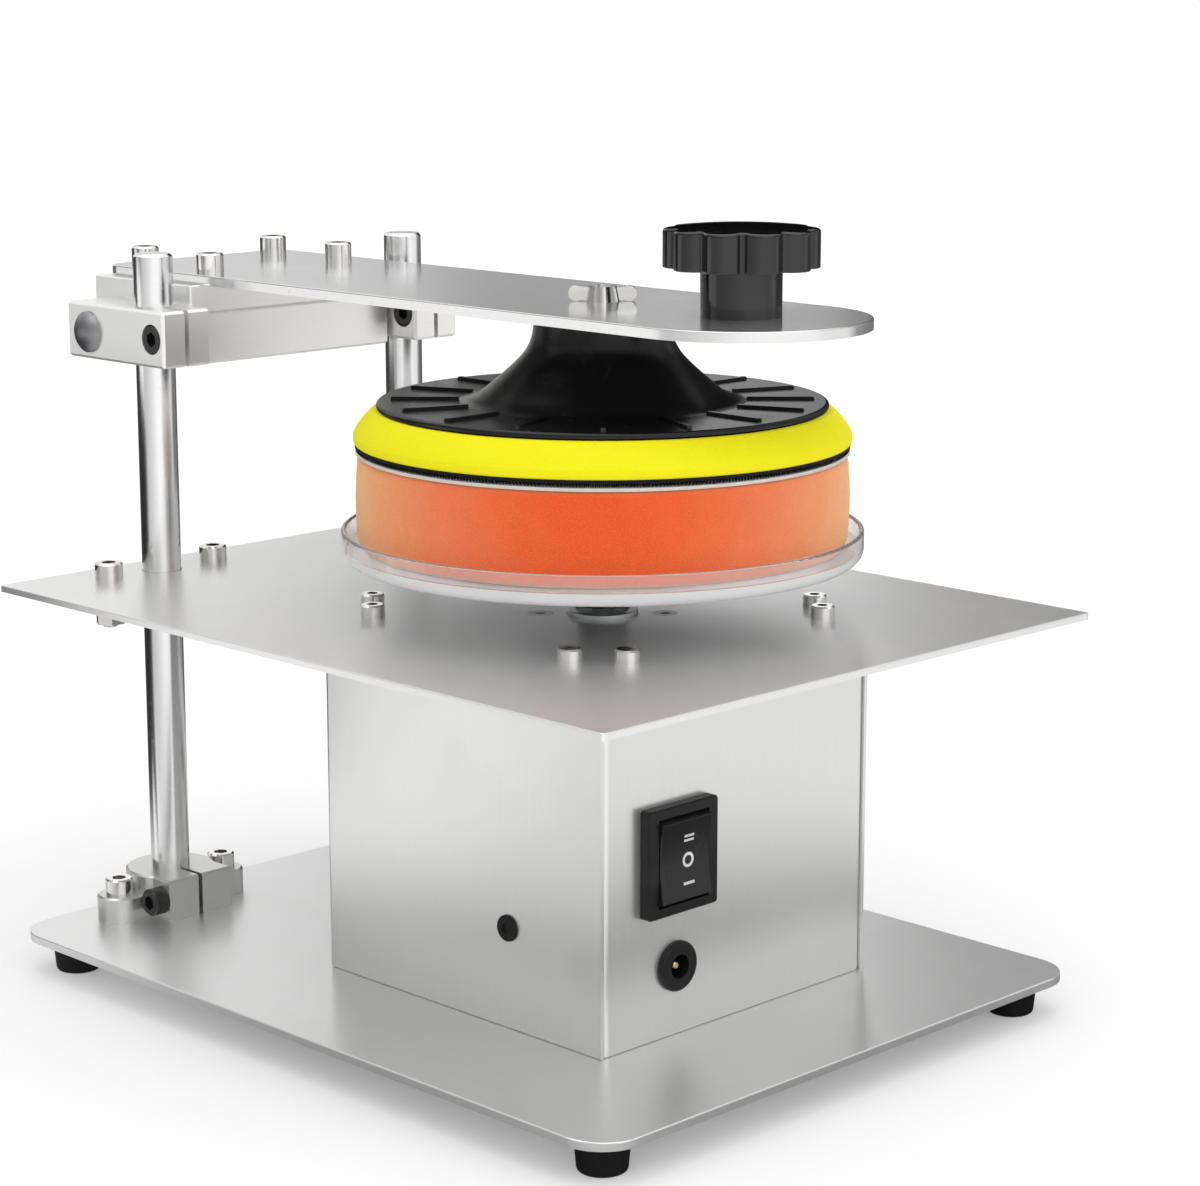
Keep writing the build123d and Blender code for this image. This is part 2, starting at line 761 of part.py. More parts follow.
# ---- rotor: armature and shaft in the motor, hub, platter and disc pin above the deck ----
hub_top = platter_underside
platter_screw_radius = hub_flange_dia / 2 - platter_screw_inset
hub_flange_bottom = hub_top - hub_flange_thick
hub_bottom = deck_top + boss_above_deck + hub_boss_gap
shaft_top = hub_top - spigot_depth - shaft_end_gap
shaft_bottom = motor_bottom + shaft_end_gap
with BuildPart() as motor_shaft:
    with BuildSketch(Plane.XY.offset(shaft_bottom)):
        with Locations((0, spindle_y)):
            Circle(shaft_dia / 2)
    extrude(amount=shaft_top - shaft_bottom)
motor_shaft.part.label = "motor_shaft"
export_step(motor_shaft.part, "parts/motor_shaft.step")

armature_radius = magnet_inside - air_gap
with BuildPart() as armature:
    with BuildSketch(Plane.XY.offset(magnet_middle - armature_length / 2)):
        with Locations((0, spindle_y)):
            Circle(armature_radius)
            Circle(shaft_dia / 2 + clamp_fit, mode=Mode.SUBTRACT)
            with PolarLocations(armature_radius, armature_slots):
                Rectangle(2 * slot_depth, slot_width, mode=Mode.SUBTRACT)
    extrude(amount=armature_length)
armature.part.label = "armature"
export_step(armature.part, "parts/armature.step")

set_screw_z = (hub_bottom + hub_flange_bottom) / 2
set_screw_face = hub_boss_dia / 2 - set_screw_recess
with BuildPart() as platter_hub:
    with BuildSketch(Plane.XY.offset(hub_bottom)):
        with Locations((0, spindle_y)):
            Circle(hub_boss_dia / 2)
    extrude(amount=hub_top - hub_bottom)
    with BuildSketch(Plane.XY.offset(hub_flange_bottom)):
        with Locations((0, spindle_y)):
            Circle(hub_flange_dia / 2)
            with PolarLocations(platter_screw_radius, platter_screw_count):
                Circle(m3_dia / 2 + thread_fit, mode=Mode.SUBTRACT)
    extrude(amount=hub_flange_thick)
    with Locations((0, spindle_y, hub_top)):
        CounterBoreHole(shaft_dia / 2 + clamp_fit, spigot_dia / 2 + clamp_fit, spigot_depth)
    with BuildSketch(facing((0, spindle_y, set_screw_z), (1, 0, 0))):
        Circle(m4_dia / 2 + thread_fit)
    extrude(amount=hub_boss_dia, mode=Mode.SUBTRACT)
platter_hub.part.label = "platter_hub"
export_step(platter_hub.part, "parts/platter_hub.step")

with BuildPart() as hub_set_screw:
    with BuildSketch(facing((set_screw_face, spindle_y, set_screw_z), (1, 0, 0))):
        Circle(m4_dia / 2)
    extrude(amount=shaft_dia / 2 + running_fit - set_screw_face)
    with BuildSketch(facing((set_screw_face, spindle_y, set_screw_z), (1, 0, 0))):
        RegularPolygon(set_screw_hex / 2, hexagon, major_radius=False)
    extrude(amount=-set_screw_hex, mode=Mode.SUBTRACT)
hub_set_screw.part.label = "hub_set_screw"
export_step(hub_set_screw.part, "parts/hub_set_screw.step")

# A round section is drawn in this plane, radius across and height up, and turned about the spindle.
spindle_section = Plane((0, spindle_y, 0), x_dir=(1, 0, 0), z_dir=(0, -1, 0))

# The platter is a disc of clear acrylic with a slice of tube bonded on it as its rim.
platter_radius = sponge_dia / 2 + sponge_side_gap + platter_wall
platter_seam = platter_floor + glue_film
with BuildPart() as platter:
    with BuildSketch(Plane.XY.offset(platter_underside)):
        with Locations((0, spindle_y)):
            Circle(platter_radius)
    extrude(amount=platter_floor_thick)
    fillet(platter.faces().sort_by(Axis.Z)[0].edges(), platter_corner)
    with Locations((0, spindle_y, platter_floor)):
        Hole(spigot_dia / 2 + running_fit)
        with PolarLocations(platter_screw_radius, platter_screw_count):
            CounterSinkHole(
                m3_dia / 2 + bolt_clearance, m3_head_dia / 2 + running_fit, counter_sink_angle=90
            )
platter.part.label = "platter"
export_step(platter.part, "parts/platter.step")

with BuildPart() as platter_rim:
    with BuildSketch(Plane.XY.offset(platter_seam)):
        with Locations((0, spindle_y)):
            Circle(platter_radius)
            Circle(platter_radius - platter_wall, mode=Mode.SUBTRACT)
    extrude(amount=platter_underside + platter_rim_height - platter_seam)
    fillet(platter_rim.faces().sort_by(Axis.Z)[-1].edges(), platter_wall / 2 - running_fit)
platter_rim.part.label = "platter_rim"
export_step(platter_rim.part, "parts/platter_rim.step")

with BuildPart() as platter_screws:
    with Locations((0, spindle_y, platter_floor)):
        with PolarLocations(platter_screw_radius, platter_screw_count):
            add(sunk_screw(m3_head_dia, m3_dia, m3_length, m3_hex))
platter_screws.part.label = "platter_screws"
export_step(platter_screws.part, "parts/platter_screws.step")

with BuildPart() as disc_pin:
    with BuildSketch(Plane.XY.offset(platter_floor)):
        with Locations((0, spindle_y)):
            Circle(pin_dia / 2)
    extrude(amount=pin_height)
    chamfer(disc_pin.faces().sort_by(Axis.Z)[-1].edges(), pin_chamfer)
    with BuildSketch(Plane.XY.offset(platter_floor)):
        with Locations((0, spindle_y)):
            Circle(spigot_dia / 2)
    extrude(amount=seam_gap - platter_floor_thick - spigot_depth)
disc_pin.part.label = "disc_pin"
export_step(disc_pin.part, "parts/disc_pin.step")

# ---- rocker switch: bezel and body in one moulding, with a well for the rocker ----
switch_point = (switch_x, box_front, switch_z)
switch_face = facing(switch_point, (0, -1, 0), (1, 0, 0))
with BuildPart() as switch_body:
    with BuildSketch(switch_face):
        RectangleRounded(
            switch_body_width + 2 * bezel_lip_side, switch_body_height + 2 * bezel_lip_end, bezel_edge
        )
    extrude(amount=bezel_proud)
    fillet(switch_body.faces().sort_by(Axis.Y)[0].edges(), bezel_edge / 2)
    with BuildSketch(switch_face):
        Rectangle(switch_body_width, switch_body_height)
    extrude(amount=-switch_body_depth)
    with BuildSketch(facing(switch_point, (1, 0, 0), (0, 1, 0))):
        for side in (-1, 1):
            Polygon(
                (sheet + part_gap, side * switch_body_height / 2),
                (sheet + part_gap, side * (switch_body_height / 2 + snap_proud)),
                (sheet + snap_run, side * switch_body_height / 2),
                align=None,
            )
    extrude(amount=snap_length / 2, both=True)
    with BuildSketch(switch_face.offset(bezel_proud)):
        Rectangle(well_width, well_height)
    extrude(amount=-bezel_proud - rocker_well_depth, mode=Mode.SUBTRACT)
    with BuildSketch(facing(switch_point, (1, 0, 0), (0, 1, 0))):
        Circle(trunnion_dia / 2 + running_fit)
    extrude(amount=rocker_width / 2 + trunnion_length + running_fit, both=True, mode=Mode.SUBTRACT)
switch_body.part.label = "switch_body"
export_step(switch_body.part, "parts/switch_body.step")

with BuildPart() as switch_terminals:
    with BuildSketch(switch_face.offset(-switch_body_depth)):
        with GridLocations(0, blade_pitch, 1, blade_count):
            Rectangle(blade_width, blade_thick)
    extrude(amount=-blade_length)
switch_terminals.part.label = "switch_terminals"
export_step(switch_terminals.part, "parts/switch_terminals.step")

# The rocker's ends are arcs about its pivot, so that the gap to the bezel stays even as it tips.
rocker_front = bezel_proud + rocker_stand
rocker_reach = sqrt(rocker_end_radius**2 - rocker_front**2)
with BuildPart() as rocker:
    with BuildSketch(facing(switch_point, (1, 0, 0), (0, 1, 0))):
        with BuildLine():
            face_curve = ThreePointArc(
                (-rocker_front, -rocker_reach),
                (rocker_dip - rocker_front, 0),
                (-rocker_front, rocker_reach),
            )
            upper_end = RadiusArc(face_curve @ 1, (0, rocker_end_radius), rocker_end_radius)
            back = Polyline(
                upper_end @ 1,
                (rocker_back, rocker_back_height / 2),
                (rocker_back, -rocker_back_height / 2),
                (0, -rocker_end_radius),
            )
            RadiusArc(back @ 1, face_curve @ 0, rocker_end_radius)
        make_face()
    extrude(amount=rocker_width / 2, both=True)
    fillet(rocker.faces().sort_by(Axis.Y)[0].edges(), part_gap)
    with BuildSketch(facing(switch_point, (1, 0, 0), (0, 1, 0))):
        Circle(trunnion_dia / 2)
    extrude(amount=rocker_width / 2 + trunnion_length, both=True)
rocker.part.label = "rocker"
export_step(rocker.part, "parts/rocker.step")

# ---- power inlet: a round socket with a centre pin, held by a nut behind the panel ----
inlet_face = facing((inlet_x, box_front, inlet_z), (0, -1, 0), (1, 0, 0))
with BuildPart() as inlet_socket:
    with BuildSketch(inlet_face):
        Circle(inlet_body_dia / 2 + inlet_flange_lip)
    extrude(amount=inlet_proud)
    fillet(inlet_socket.faces().sort_by(Axis.Y)[0].edges(), inlet_proud / 2)
    with BuildSketch(inlet_face):
        Circle(inlet_body_dia / 2)
    extrude(amount=-inlet_body_depth)
    with BuildSketch(inlet_face.offset(inlet_proud)):
        Circle(inlet_bore_dia / 2)
    extrude(amount=-inlet_bore_depth, mode=Mode.SUBTRACT)
    with BuildSketch(inlet_face):
        Circle(inlet_pin_dia / 2 + clamp_fit)
    extrude(amount=-inlet_body_depth, mode=Mode.SUBTRACT)
inlet_socket.part.label = "inlet_socket"
export_step(inlet_socket.part, "parts/inlet_socket.step")

with BuildPart() as inlet_pin:
    with BuildSketch(inlet_face.offset(inlet_proud - inlet_pin_back)):
        Circle(inlet_pin_dia / 2)
    extrude(amount=-inlet_proud - inlet_body_depth)
    chamfer(inlet_pin.faces().sort_by(Axis.Y)[0].edges(), inlet_pin_bevel)
inlet_pin.part.label = "inlet_pin"
export_step(inlet_pin.part, "parts/inlet_pin.step")

with BuildPart() as inlet_nut:
    with BuildSketch(inlet_face.offset(-sheet)):
        RegularPolygon(inlet_body_dia / 2 + inlet_nut_wall, hexagon, major_radius=False)
        Circle(inlet_body_dia / 2 + thread_fit, mode=Mode.SUBTRACT)
    extrude(amount=-inlet_nut_height)
inlet_nut.part.label = "inlet_nut"
export_step(inlet_nut.part, "parts/inlet_nut.step")

# ---- rubber plug in the left wall: dished head, neck and barb ----
plug_face = facing((-box_width / 2, plug_y, plug_z), (-1, 0, 0))
with BuildPart() as wall_plug:
    with BuildSketch(plug_face):
        Circle(plug_dia / 2)
    extrude(amount=plug_proud)
    fillet(wall_plug.faces().sort_by(Axis.X)[0].edges(), plug_proud / 2)
    with BuildSketch(plug_face.offset(plug_proud)):
        Circle(plug_dish_dia / 2)
    extrude(amount=-plug_proud / 2, mode=Mode.SUBTRACT)
    with BuildSketch(plug_face):
        Circle(plug_neck_dia / 2)
    extrude(amount=-sheet)
    with BuildSketch(plug_face.offset(-sheet)):
        Circle(plug_barb_dia / 2)
    extrude(amount=-plug_barb_depth, taper=plug_taper)
wall_plug.part.label = "wall_plug"
export_step(wall_plug.part, "parts/wall_plug.step")

# ---- height clamps: two like blocks, split in front of the post and drilled for the pivot ----
clamp_screw_front = post_dia / 2 + clamp_screw_room
clamp_front = clamp_screw_front + clamp_nose
clamp_length = clamp_front + pivot_behind_post + clamp_tail
with BuildPart() as clamp_block:
    with BuildSketch(Plane.XY.offset(-clamp_height / 2)):
        with Locations((0, -clamp_front)):
            Rectangle(clamp_width, clamp_length, align=(Align.CENTER, Align.MIN))
    extrude(amount=clamp_height)
    chamfer(clamp_block.edges(), clamp_edge)
    with BuildSketch(Plane.XY.offset(-clamp_height / 2)):
        Circle(post_dia / 2 + running_fit)
        Rectangle(clamp_slit, clamp_front, align=(Align.CENTER, Align.MAX))
    extrude(amount=clamp_height, mode=Mode.SUBTRACT)
    with Locations(facing((-clamp_width / 2, -clamp_screw_front, 0), (-1, 0, 0))):
        CounterBoreHole(m5_dia / 2 + thread_fit, m5_head_dia / 2 + clamp_head_gap, m5_head_height)
    with Locations(facing((-clamp_width / 2, pivot_behind_post, -clamp_above_pivot), (-1, 0, 0))):
        Hole(pivot_dia / 2 + clamp_fit)

for name, place in zip(("left_clamp_block", "right_clamp_block"), at_height(post_places, clamp_middle_z)):
    with BuildPart() as placed_clamp:
        with Locations(place):
            add(clamp_block.part)
    placed_clamp.part.label = name
    export_step(placed_clamp.part, f"parts/{name}.step")

block_screw_seat = m5_head_height - clamp_width / 2
block_screw_length = clamp_width - m5_head_height - m5_tail
block_screw = cap_screw(m5_head_dia, m5_head_height, m5_dia, block_screw_length, m5_hex)
with BuildPart() as block_screws:
    for x, y in post_places:
        seat = (x + block_screw_seat, y - clamp_screw_front, clamp_middle_z)
        with Locations(facing(seat, (-1, 0, 0))):
            add(block_screw)
block_screws.part.label = "block_screws"
export_step(block_screws.part, "parts/block_screws.step")

# ---- pivot pins: domed heads outside the clamps, shanks into the ends of the hinge bar ----
pivot_shank = clamp_outer_x - bar_length / 2 + pivot_reach
pivot_head_radius = pivot_head_dia / 2
with BuildPart() as pivot_pin:
    with BuildSketch(Plane.XZ):
        with BuildLine():
            dome = ThreePointArc(
                (0, pivot_head_height),
                (pivot_head_radius / 2, pivot_head_height - pivot_dome_drop),
                (pivot_head_radius, pivot_rim),
            )
            Polyline(
                dome @ 1,
                (pivot_head_radius, 0),
                (pivot_dia / 2, 0),
                (pivot_dia / 2, -pivot_shank),
                (0, -pivot_shank),
                dome @ 0,
            )
        make_face()
    revolve(axis=Axis.Z)

with BuildPart() as pivot_pins:
    for side in (-1, 1):
        with Locations(facing((side * clamp_outer_x, pivot_y, pivot_z), (side, 0, 0))):
            add(pivot_pin.part)
pivot_pins.part.label = "pivot_pins"
export_step(pivot_pins.part, "parts/pivot_pins.step")

with BuildPart() as pivot_washers:
    for side in (-1, 1):
        with BuildSketch(facing((side * clamp_inner_x, pivot_y, pivot_z), (side, 0, 0))):
            Circle(washer_dia / 2)
            Circle(pivot_dia / 2 + running_fit, mode=Mode.SUBTRACT)
        extrude(amount=-washer_thick)
pivot_washers.part.label = "pivot_washers"
export_step(pivot_washers.part, "parts/pivot_washers.step")

# ---- hinge bar, with a blind pivot bore in each end and threads for the arm bolts ----
with BuildPart() as hinge_bar:
    with BuildSketch(Plane.XY.offset(bar_underside)):
        with Locations((0, bar_middle_y)):
            Rectangle(bar_length, bar_depth)
    extrude(amount=bar_height)
    chamfer(hinge_bar.edges(), bar_edge)
    for side in (-1, 1):
        with BuildSketch(facing((side * bar_length / 2, pivot_y, pivot_z), (side, 0, 0))):
            Circle(pivot_dia / 2 + running_fit)
        extrude(amount=-pivot_reach - m5_tail, mode=Mode.SUBTRACT)
    with BuildSketch(Plane.XY.offset(bar_top)):
        with Locations(*arm_bolt_places):
            Circle(m5_dia / 2 + thread_fit)
    extrude(amount=-arm_bolt_bite - m5_tail, mode=Mode.SUBTRACT)
hinge_bar.part.label = "hinge_bar"
export_step(hinge_bar.part, "parts/hinge_bar.step")

with BuildPart() as arm_riser:
    with BuildSketch(Plane.XY.offset(bar_top)):
        with Locations((0, bar_middle_y)):
            Rectangle(bar_length - 2 * riser_step, bar_depth)
    extrude(amount=arm_underside - bar_top)
    chamfer(arm_riser.edges(), plate_edge)
    with BuildSketch(Plane.XY.offset(bar_top)):
        with Locations(*arm_bolt_places):
            Circle(m5_dia / 2 + bolt_clearance)
    extrude(amount=arm_underside - bar_top, mode=Mode.SUBTRACT)
arm_riser.part.label = "arm_riser"
export_step(arm_riser.part, "parts/arm_riser.step")

# ---- arm plate: its front end is a half circle about the knob ----
arm_back_reach = arm_plate_back - knob_y
with BuildPart() as arm_plate:
    with BuildSketch(Plane.XY.offset(arm_underside)) as arm_outline:
        with Locations((0, knob_y)):
            Circle(arm_plate_width / 2)
            Rectangle(arm_plate_width, arm_back_reach, align=(Align.CENTER, Align.MIN))
        fillet(arm_outline.vertices().group_by(Axis.Y)[-1], arm_back_corner)
    extrude(amount=arm_plate_thick)
    fillet(arm_plate.edges().group_by(Axis.Z)[-1], plate_edge)
    with BuildSketch(Plane.XY.offset(arm_underside)):
        with Locations(*arm_bolt_places):
            Circle(m5_dia / 2 + bolt_clearance)
        with Locations((0, spindle_y)):
            Circle(stud_dia / 2 + bolt_clearance)
        with Locations((0, knob_y)):
            Circle(knob_screw_dia / 2 + bolt_clearance)
    extrude(amount=arm_plate_thick, mode=Mode.SUBTRACT)
arm_plate.part.label = "arm_plate"
export_step(arm_plate.part, "parts/arm_plate.step")

arm_bolt_length = arm_plate_thick + riser_thick + arm_bolt_bite
with BuildPart() as arm_bolts:
    with Locations(*at_height(arm_bolt_places, arm_top)):
        add(cap_screw(m5_head_dia, arm_bolt_head, m5_dia, arm_bolt_length, m5_hex))
arm_bolts.part.label = "arm_bolts"
export_step(arm_bolts.part, "parts/arm_bolts.step")

# ---- knob: ten round lobes with filleted valleys, a low dome on top and a round hub ----
knob_base = arm_top + knob_hub_height
knob_top = knob_base + knob_head_height
knob_radius = knob_lobe_centre + knob_lobe_dia / 2
knob_section = Plane((0, knob_y, 0), x_dir=(1, 0, 0), z_dir=(0, -1, 0))
with BuildPart() as knob:
    with BuildSketch(Plane.XY.offset(knob_base)) as star:
        with Locations((0, knob_y)):
            Circle(knob_core_dia / 2)
            with PolarLocations(knob_lobe_centre, knob_lobes, start_angle=knob_lobe_turn):
                Circle(knob_lobe_dia / 2)
        fillet(star.vertices(), knob_valley)
    extrude(amount=knob_head_height)
    with BuildSketch(knob_section):
        with BuildLine():
            crown = ThreePointArc(
                (-knob_radius, knob_top - knob_dome), (0, knob_top), (knob_radius, knob_top - knob_dome)
            )
            Polyline(crown @ 1, (knob_radius, knob_base), (-knob_radius, knob_base), crown @ 0)
        make_face()
        split(bisect_by=Plane.YZ)
    revolve(axis=Axis((0, knob_y, 0), (0, 0, 1)), mode=Mode.INTERSECT)
    fillet(knob.faces().sort_by(Axis.Z)[-1].edges(), knob_edge)
    fillet(knob.faces().sort_by(Axis.Z)[0].edges(), knob_edge / 2)
    with BuildSketch(Plane.XY.offset(arm_top)):
        with Locations((0, knob_y)):
            Circle(knob_hub_dia / 2)
    extrude(amount=knob_hub_height)
    with BuildSketch(Plane.XY.offset(arm_top)):
        with Locations((0, knob_y)):
            Circle(knob_screw_dia / 2 + thread_fit)
    extrude(amount=knob_screw_bite + m5_tail, mode=Mode.SUBTRACT)
knob.part.label = "knob"
export_step(knob.part, "parts/knob.step")

knob_screw_length = arm_plate_thick + knob_screw_bite
with BuildPart() as knob_screw:
    with Locations(facing((0, knob_y, arm_underside), down)):
        add(cap_screw(button_head_dia, button_head_height, knob_screw_dia, knob_screw_length, m5_hex))
knob_screw.part.label = "knob_screw"
export_step(knob_screw.part, "parts/knob_screw.step")

# ---- backing pad: a flared body on a thin ribbed disc ----
rim_radius = rim_disc_dia / 2
neck_radius = neck_top_dia / 2
rim_top = backing_underside + rim_disc_thick
rib_end_radius = rim_radius - rib_end_inset
with BuildPart() as backing_pad:
    with BuildSketch(spindle_section) as flare_outline:
        with BuildLine():
            flare = Spline(
                (flare_foot_radius, rim_top),
                (flare_middle_radius, rim_top + flare_middle_height),
                (flare_upper_radius, rim_top + flare_upper_height),
                (neck_radius, arm_underside),
                tangents=((-1, flare_foot_slope), (0, 1)),
            )
            Polyline(
                flare @ 1,
                (0, arm_underside),
                (0, backing_underside),
                (rim_radius, backing_underside),
                (rim_radius, rim_top),
                flare @ 0,
            )
        make_face()
        fillet(flare_outline.vertices().sort_by(Axis.X)[-2:], rim_disc_thick / 2 - running_fit)
    revolve(axis=spindle_axis)
    for number in range(backing_ribs):
        turn = radians(360 * number / backing_ribs)
        across = (cos(turn), sin(turn), 0)
        with BuildSketch(Plane((0, spindle_y, 0), x_dir=across, z_dir=(sin(turn), -cos(turn), 0))):
            Polygon(
                (flare_foot_radius, backing_underside + rim_disc_thick / 2),
                (rib_end_radius, backing_underside + rim_disc_thick / 2),
                (rib_end_radius - rib_height, rim_top + rib_height),
                (flare_foot_radius, rim_top + rib_height),
                align=None,
            )
        extrude(amount=rib_thick / 2, both=True)
    with Locations((0, spindle_y, arm_underside)):
        Hole(stud_dia / 2 + thread_fit, depth=stud_depth)
backing_pad.part.label = "backing_pad"
export_step(backing_pad.part, "parts/backing_pad.step")

with BuildPart() as pad_stud:
    with BuildSketch(Plane.XY.offset(arm_underside - stud_depth)):
        with Locations((0, spindle_y)):
            Circle(stud_dia / 2)
    extrude(amount=stud_depth + arm_plate_thick + wing_boss_height - part_gap)
pad_stud.part.label = "pad_stud"
export_step(pad_stud.part, "parts/pad_stud.step")

# ---- wing nut: a coned boss with two round wings ----
wing_boss_radius = stud_dia / 2 + wing_boss_wall
wing_across = (cos(radians(wing_turn)), sin(radians(wing_turn)), 0)
wing_normal = (sin(radians(wing_turn)), -cos(radians(wing_turn)), 0)
with BuildPart() as wing_nut:
    with BuildSketch(Plane((0, spindle_y, arm_top), x_dir=wing_across, z_dir=wing_normal)):
        with BuildLine():
            wing_root = wing_boss_radius / 2
            wing_lobe = ThreePointArc(
                (wing_reach, wing_foot), (wing_span / 2, wing_height / 2), (wing_reach, wing_height)
            )
            Polyline(
                wing_lobe @ 1,
                (wing_root, wing_height - wing_foot),
                (wing_root, wing_foot),
                wing_lobe @ 0,
            )
        make_face()
        mirror(about=Plane.YZ)
    extrude(amount=wing_thick / 2, both=True)
    with Locations((0, spindle_y, arm_top)):
        Cone(
            wing_boss_radius,
            wing_boss_radius - wing_boss_taper,
            wing_boss_height,
            align=(Align.CENTER, Align.CENTER, Align.MIN),
        )
    with Locations((0, spindle_y, arm_top + wing_boss_height)):
        Hole(stud_dia / 2 + thread_fit)
wing_nut.part.label = "wing_nut"
export_step(wing_nut.part, "parts/wing_nut.step")

# ---- pad layers: yellow foam, hook sheet, loop sheet and the sponge ----
with BuildPart() as yellow_foam:
    with BuildSketch(spindle_section):
        with BuildLine():
            shoulder = ThreePointArc(
                (yellow_dia / 2, yellow_underside + yellow_wall),
                (yellow_dia / 2 - yellow_shoulder, backing_underside - yellow_wall),
                (rim_radius + yellow_lip, backing_underside),
            )
            Polyline(
                shoulder @ 1,
                (0, backing_underside),
                (0, yellow_underside),
                (yellow_dia / 2, yellow_underside),
                shoulder @ 0,
            )
        make_face()
    revolve(axis=spindle_axis)
yellow_foam.part.label = "yellow_foam"
export_step(yellow_foam.part, "parts/yellow_foam.step")

layer_sizes = {
    "hook_layer": (hook_underside, yellow_dia / 2 - hook_inset, hook_thick),
    "loop_layer": (loop_underside, sponge_dia / 2, loop_thick),
}
for name, (underside, radius, thickness) in layer_sizes.items():
    with BuildPart() as layer:
        with BuildSketch(Plane.XY.offset(underside)):
            with Locations((0, spindle_y)):
                Circle(radius)
        extrude(amount=thickness)
        fillet(layer.edges().filter_by(GeomType.CIRCLE), layer_edge)
    layer.part.label = name
    export_step(layer.part, f"parts/{name}.step")

sponge_radius = sponge_dia / 2
with BuildPart() as sponge_pad:
    with BuildSketch(spindle_section) as sponge_outline:
        with BuildLine():
            belly = ThreePointArc(
                (sponge_radius, sponge_underside),
                (sponge_radius + sponge_belly, (sponge_underside + loop_underside) / 2),
                (sponge_radius, loop_underside),
            )
            Polyline(belly @ 1, (0, loop_underside), (0, sponge_underside), belly @ 0)
        make_face()
        fillet(sponge_outline.vertices().sort_by(Axis.X)[-2:], sponge_edge)
    revolve(axis=spindle_axis)
    with BuildSketch(Plane.XY.offset(sponge_underside)):
        with Locations((0, spindle_y)):
            Circle(pin_dia / 2 + pin_side_room)
    extrude(amount=pin_height + pin_head_room, mode=Mode.SUBTRACT)
sponge_pad.part.label = "sponge_pad"
export_step(sponge_pad.part, "parts/sponge_pad.step")
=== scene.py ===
# %% [markdown]
# # A disc repair machine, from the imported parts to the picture
# The machine polishes optical discs. A motor in a folded steel housing turns a clear platter,
# and a hinged arm lays a sponge pad on the disc. The construction comes from a CAD model, so
# every metal and moulded part is already here with its true size. This lesson gives each of
# them its finish, swaps the plain foam solids for real foam, prints the switch, and sets up
# the studio. All lengths are in metres, with +Z up and the front of the machine towards -Y.

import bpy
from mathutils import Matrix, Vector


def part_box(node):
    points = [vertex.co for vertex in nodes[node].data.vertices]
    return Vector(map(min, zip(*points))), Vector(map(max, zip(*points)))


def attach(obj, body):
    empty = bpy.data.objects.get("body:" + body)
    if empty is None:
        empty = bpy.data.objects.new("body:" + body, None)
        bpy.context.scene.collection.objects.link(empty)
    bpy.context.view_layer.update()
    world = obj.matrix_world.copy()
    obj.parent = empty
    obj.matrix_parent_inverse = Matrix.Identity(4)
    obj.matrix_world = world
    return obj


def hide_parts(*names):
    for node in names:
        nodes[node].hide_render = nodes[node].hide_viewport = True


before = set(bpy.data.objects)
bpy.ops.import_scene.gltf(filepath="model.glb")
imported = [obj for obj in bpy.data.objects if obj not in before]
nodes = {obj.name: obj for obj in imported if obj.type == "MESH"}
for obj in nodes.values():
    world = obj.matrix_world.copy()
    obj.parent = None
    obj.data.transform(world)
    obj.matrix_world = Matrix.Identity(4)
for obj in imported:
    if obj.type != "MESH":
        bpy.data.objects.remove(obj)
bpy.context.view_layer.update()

# %% Modules
from math import cos, pi, radians, sin, sqrt

import bmesh
import bpy
from mathutils import Vector, noise

scene = bpy.context.scene
scene.view_settings.view_transform = "Standard"
mm = 0.001

# %% [markdown]
# ## The camera
# The photograph looks down on the left front corner of the machine, from about a metre away
# and a little above the knob. A camera could be framed by eye, but then every edge would be
# slightly off. This one was worked out from the corners of the two plates, whose sizes are
# known, so its place, its angle and its lens all agree with the photograph.

# %% Set up the camera
camera_place = Vector((-0.6156, -0.6412, 0.3075))
camera_tilt, camera_heading = 78.26, -45.11
camera_data = bpy.data.cameras.new("studio_camera")
camera_data.lens = 92.04
camera_data.sensor_width = 36.0
camera_data.clip_start = 0.01
camera_data.clip_end = 200.0
camera = bpy.data.objects.new("studio_camera", camera_data)
camera.location = camera_place
camera.rotation_euler = (radians(camera_tilt), 0.0, radians(camera_heading))
scene.collection.objects.link(camera)
scene.camera = camera
print("lens", camera_data.lens, "mm, camera height", round(camera_place.z, 3), "m")

# %% [markdown]
# ## How a finish is put together
# A finish here is a Principled shader whose colour, roughness and bump come from small
# patterns. An image texture would need a flat layout of every part, and it would blur close
# up. Patterns that are worked out from the part's own coordinates stay sharp at any distance,
# and they travel with the part when a joint moves. Three short helpers keep the node trees
# readable: one adds a node, one starts a group, and one makes a whole material.


# %% Node helpers
def add_node(tree, kind, inputs=None, **settings):
    """Add a node, set its properties, then fill or link its inputs by name or number."""
    made = tree.nodes.new(kind)
    for key, value in settings.items():
        setattr(made, key, value)
    for key, value in (inputs or {}).items():
        if isinstance(value, bpy.types.NodeSocket):
            tree.links.new(value, made.inputs[key])
        else:
            made.inputs[key].default_value = value
    return made


def new_group(name, inputs, outputs):
    """Start a node group with named inputs, each with its value, and named outputs."""
    group = bpy.data.node_groups.new(name, "ShaderNodeTree")
    for label, kind, value in inputs:
        socket = group.interface.new_socket(label, in_out="INPUT", socket_type=kind)
        socket.default_value = value
    for label, kind in outputs:
        group.interface.new_socket(label, in_out="OUTPUT", socket_type=kind)
    return group, group.nodes.new("NodeGroupInput"), group.nodes.new("NodeGroupOutput")


def use_group(tree, name, **inputs):
    """Place a group in a material, with that material's own values."""
    placed = add_node(tree, "ShaderNodeGroup", node_tree=bpy.data.node_groups[name])
    for label, value in inputs.items():
        placed.inputs[label.replace("_", " ")].default_value = value
    return placed


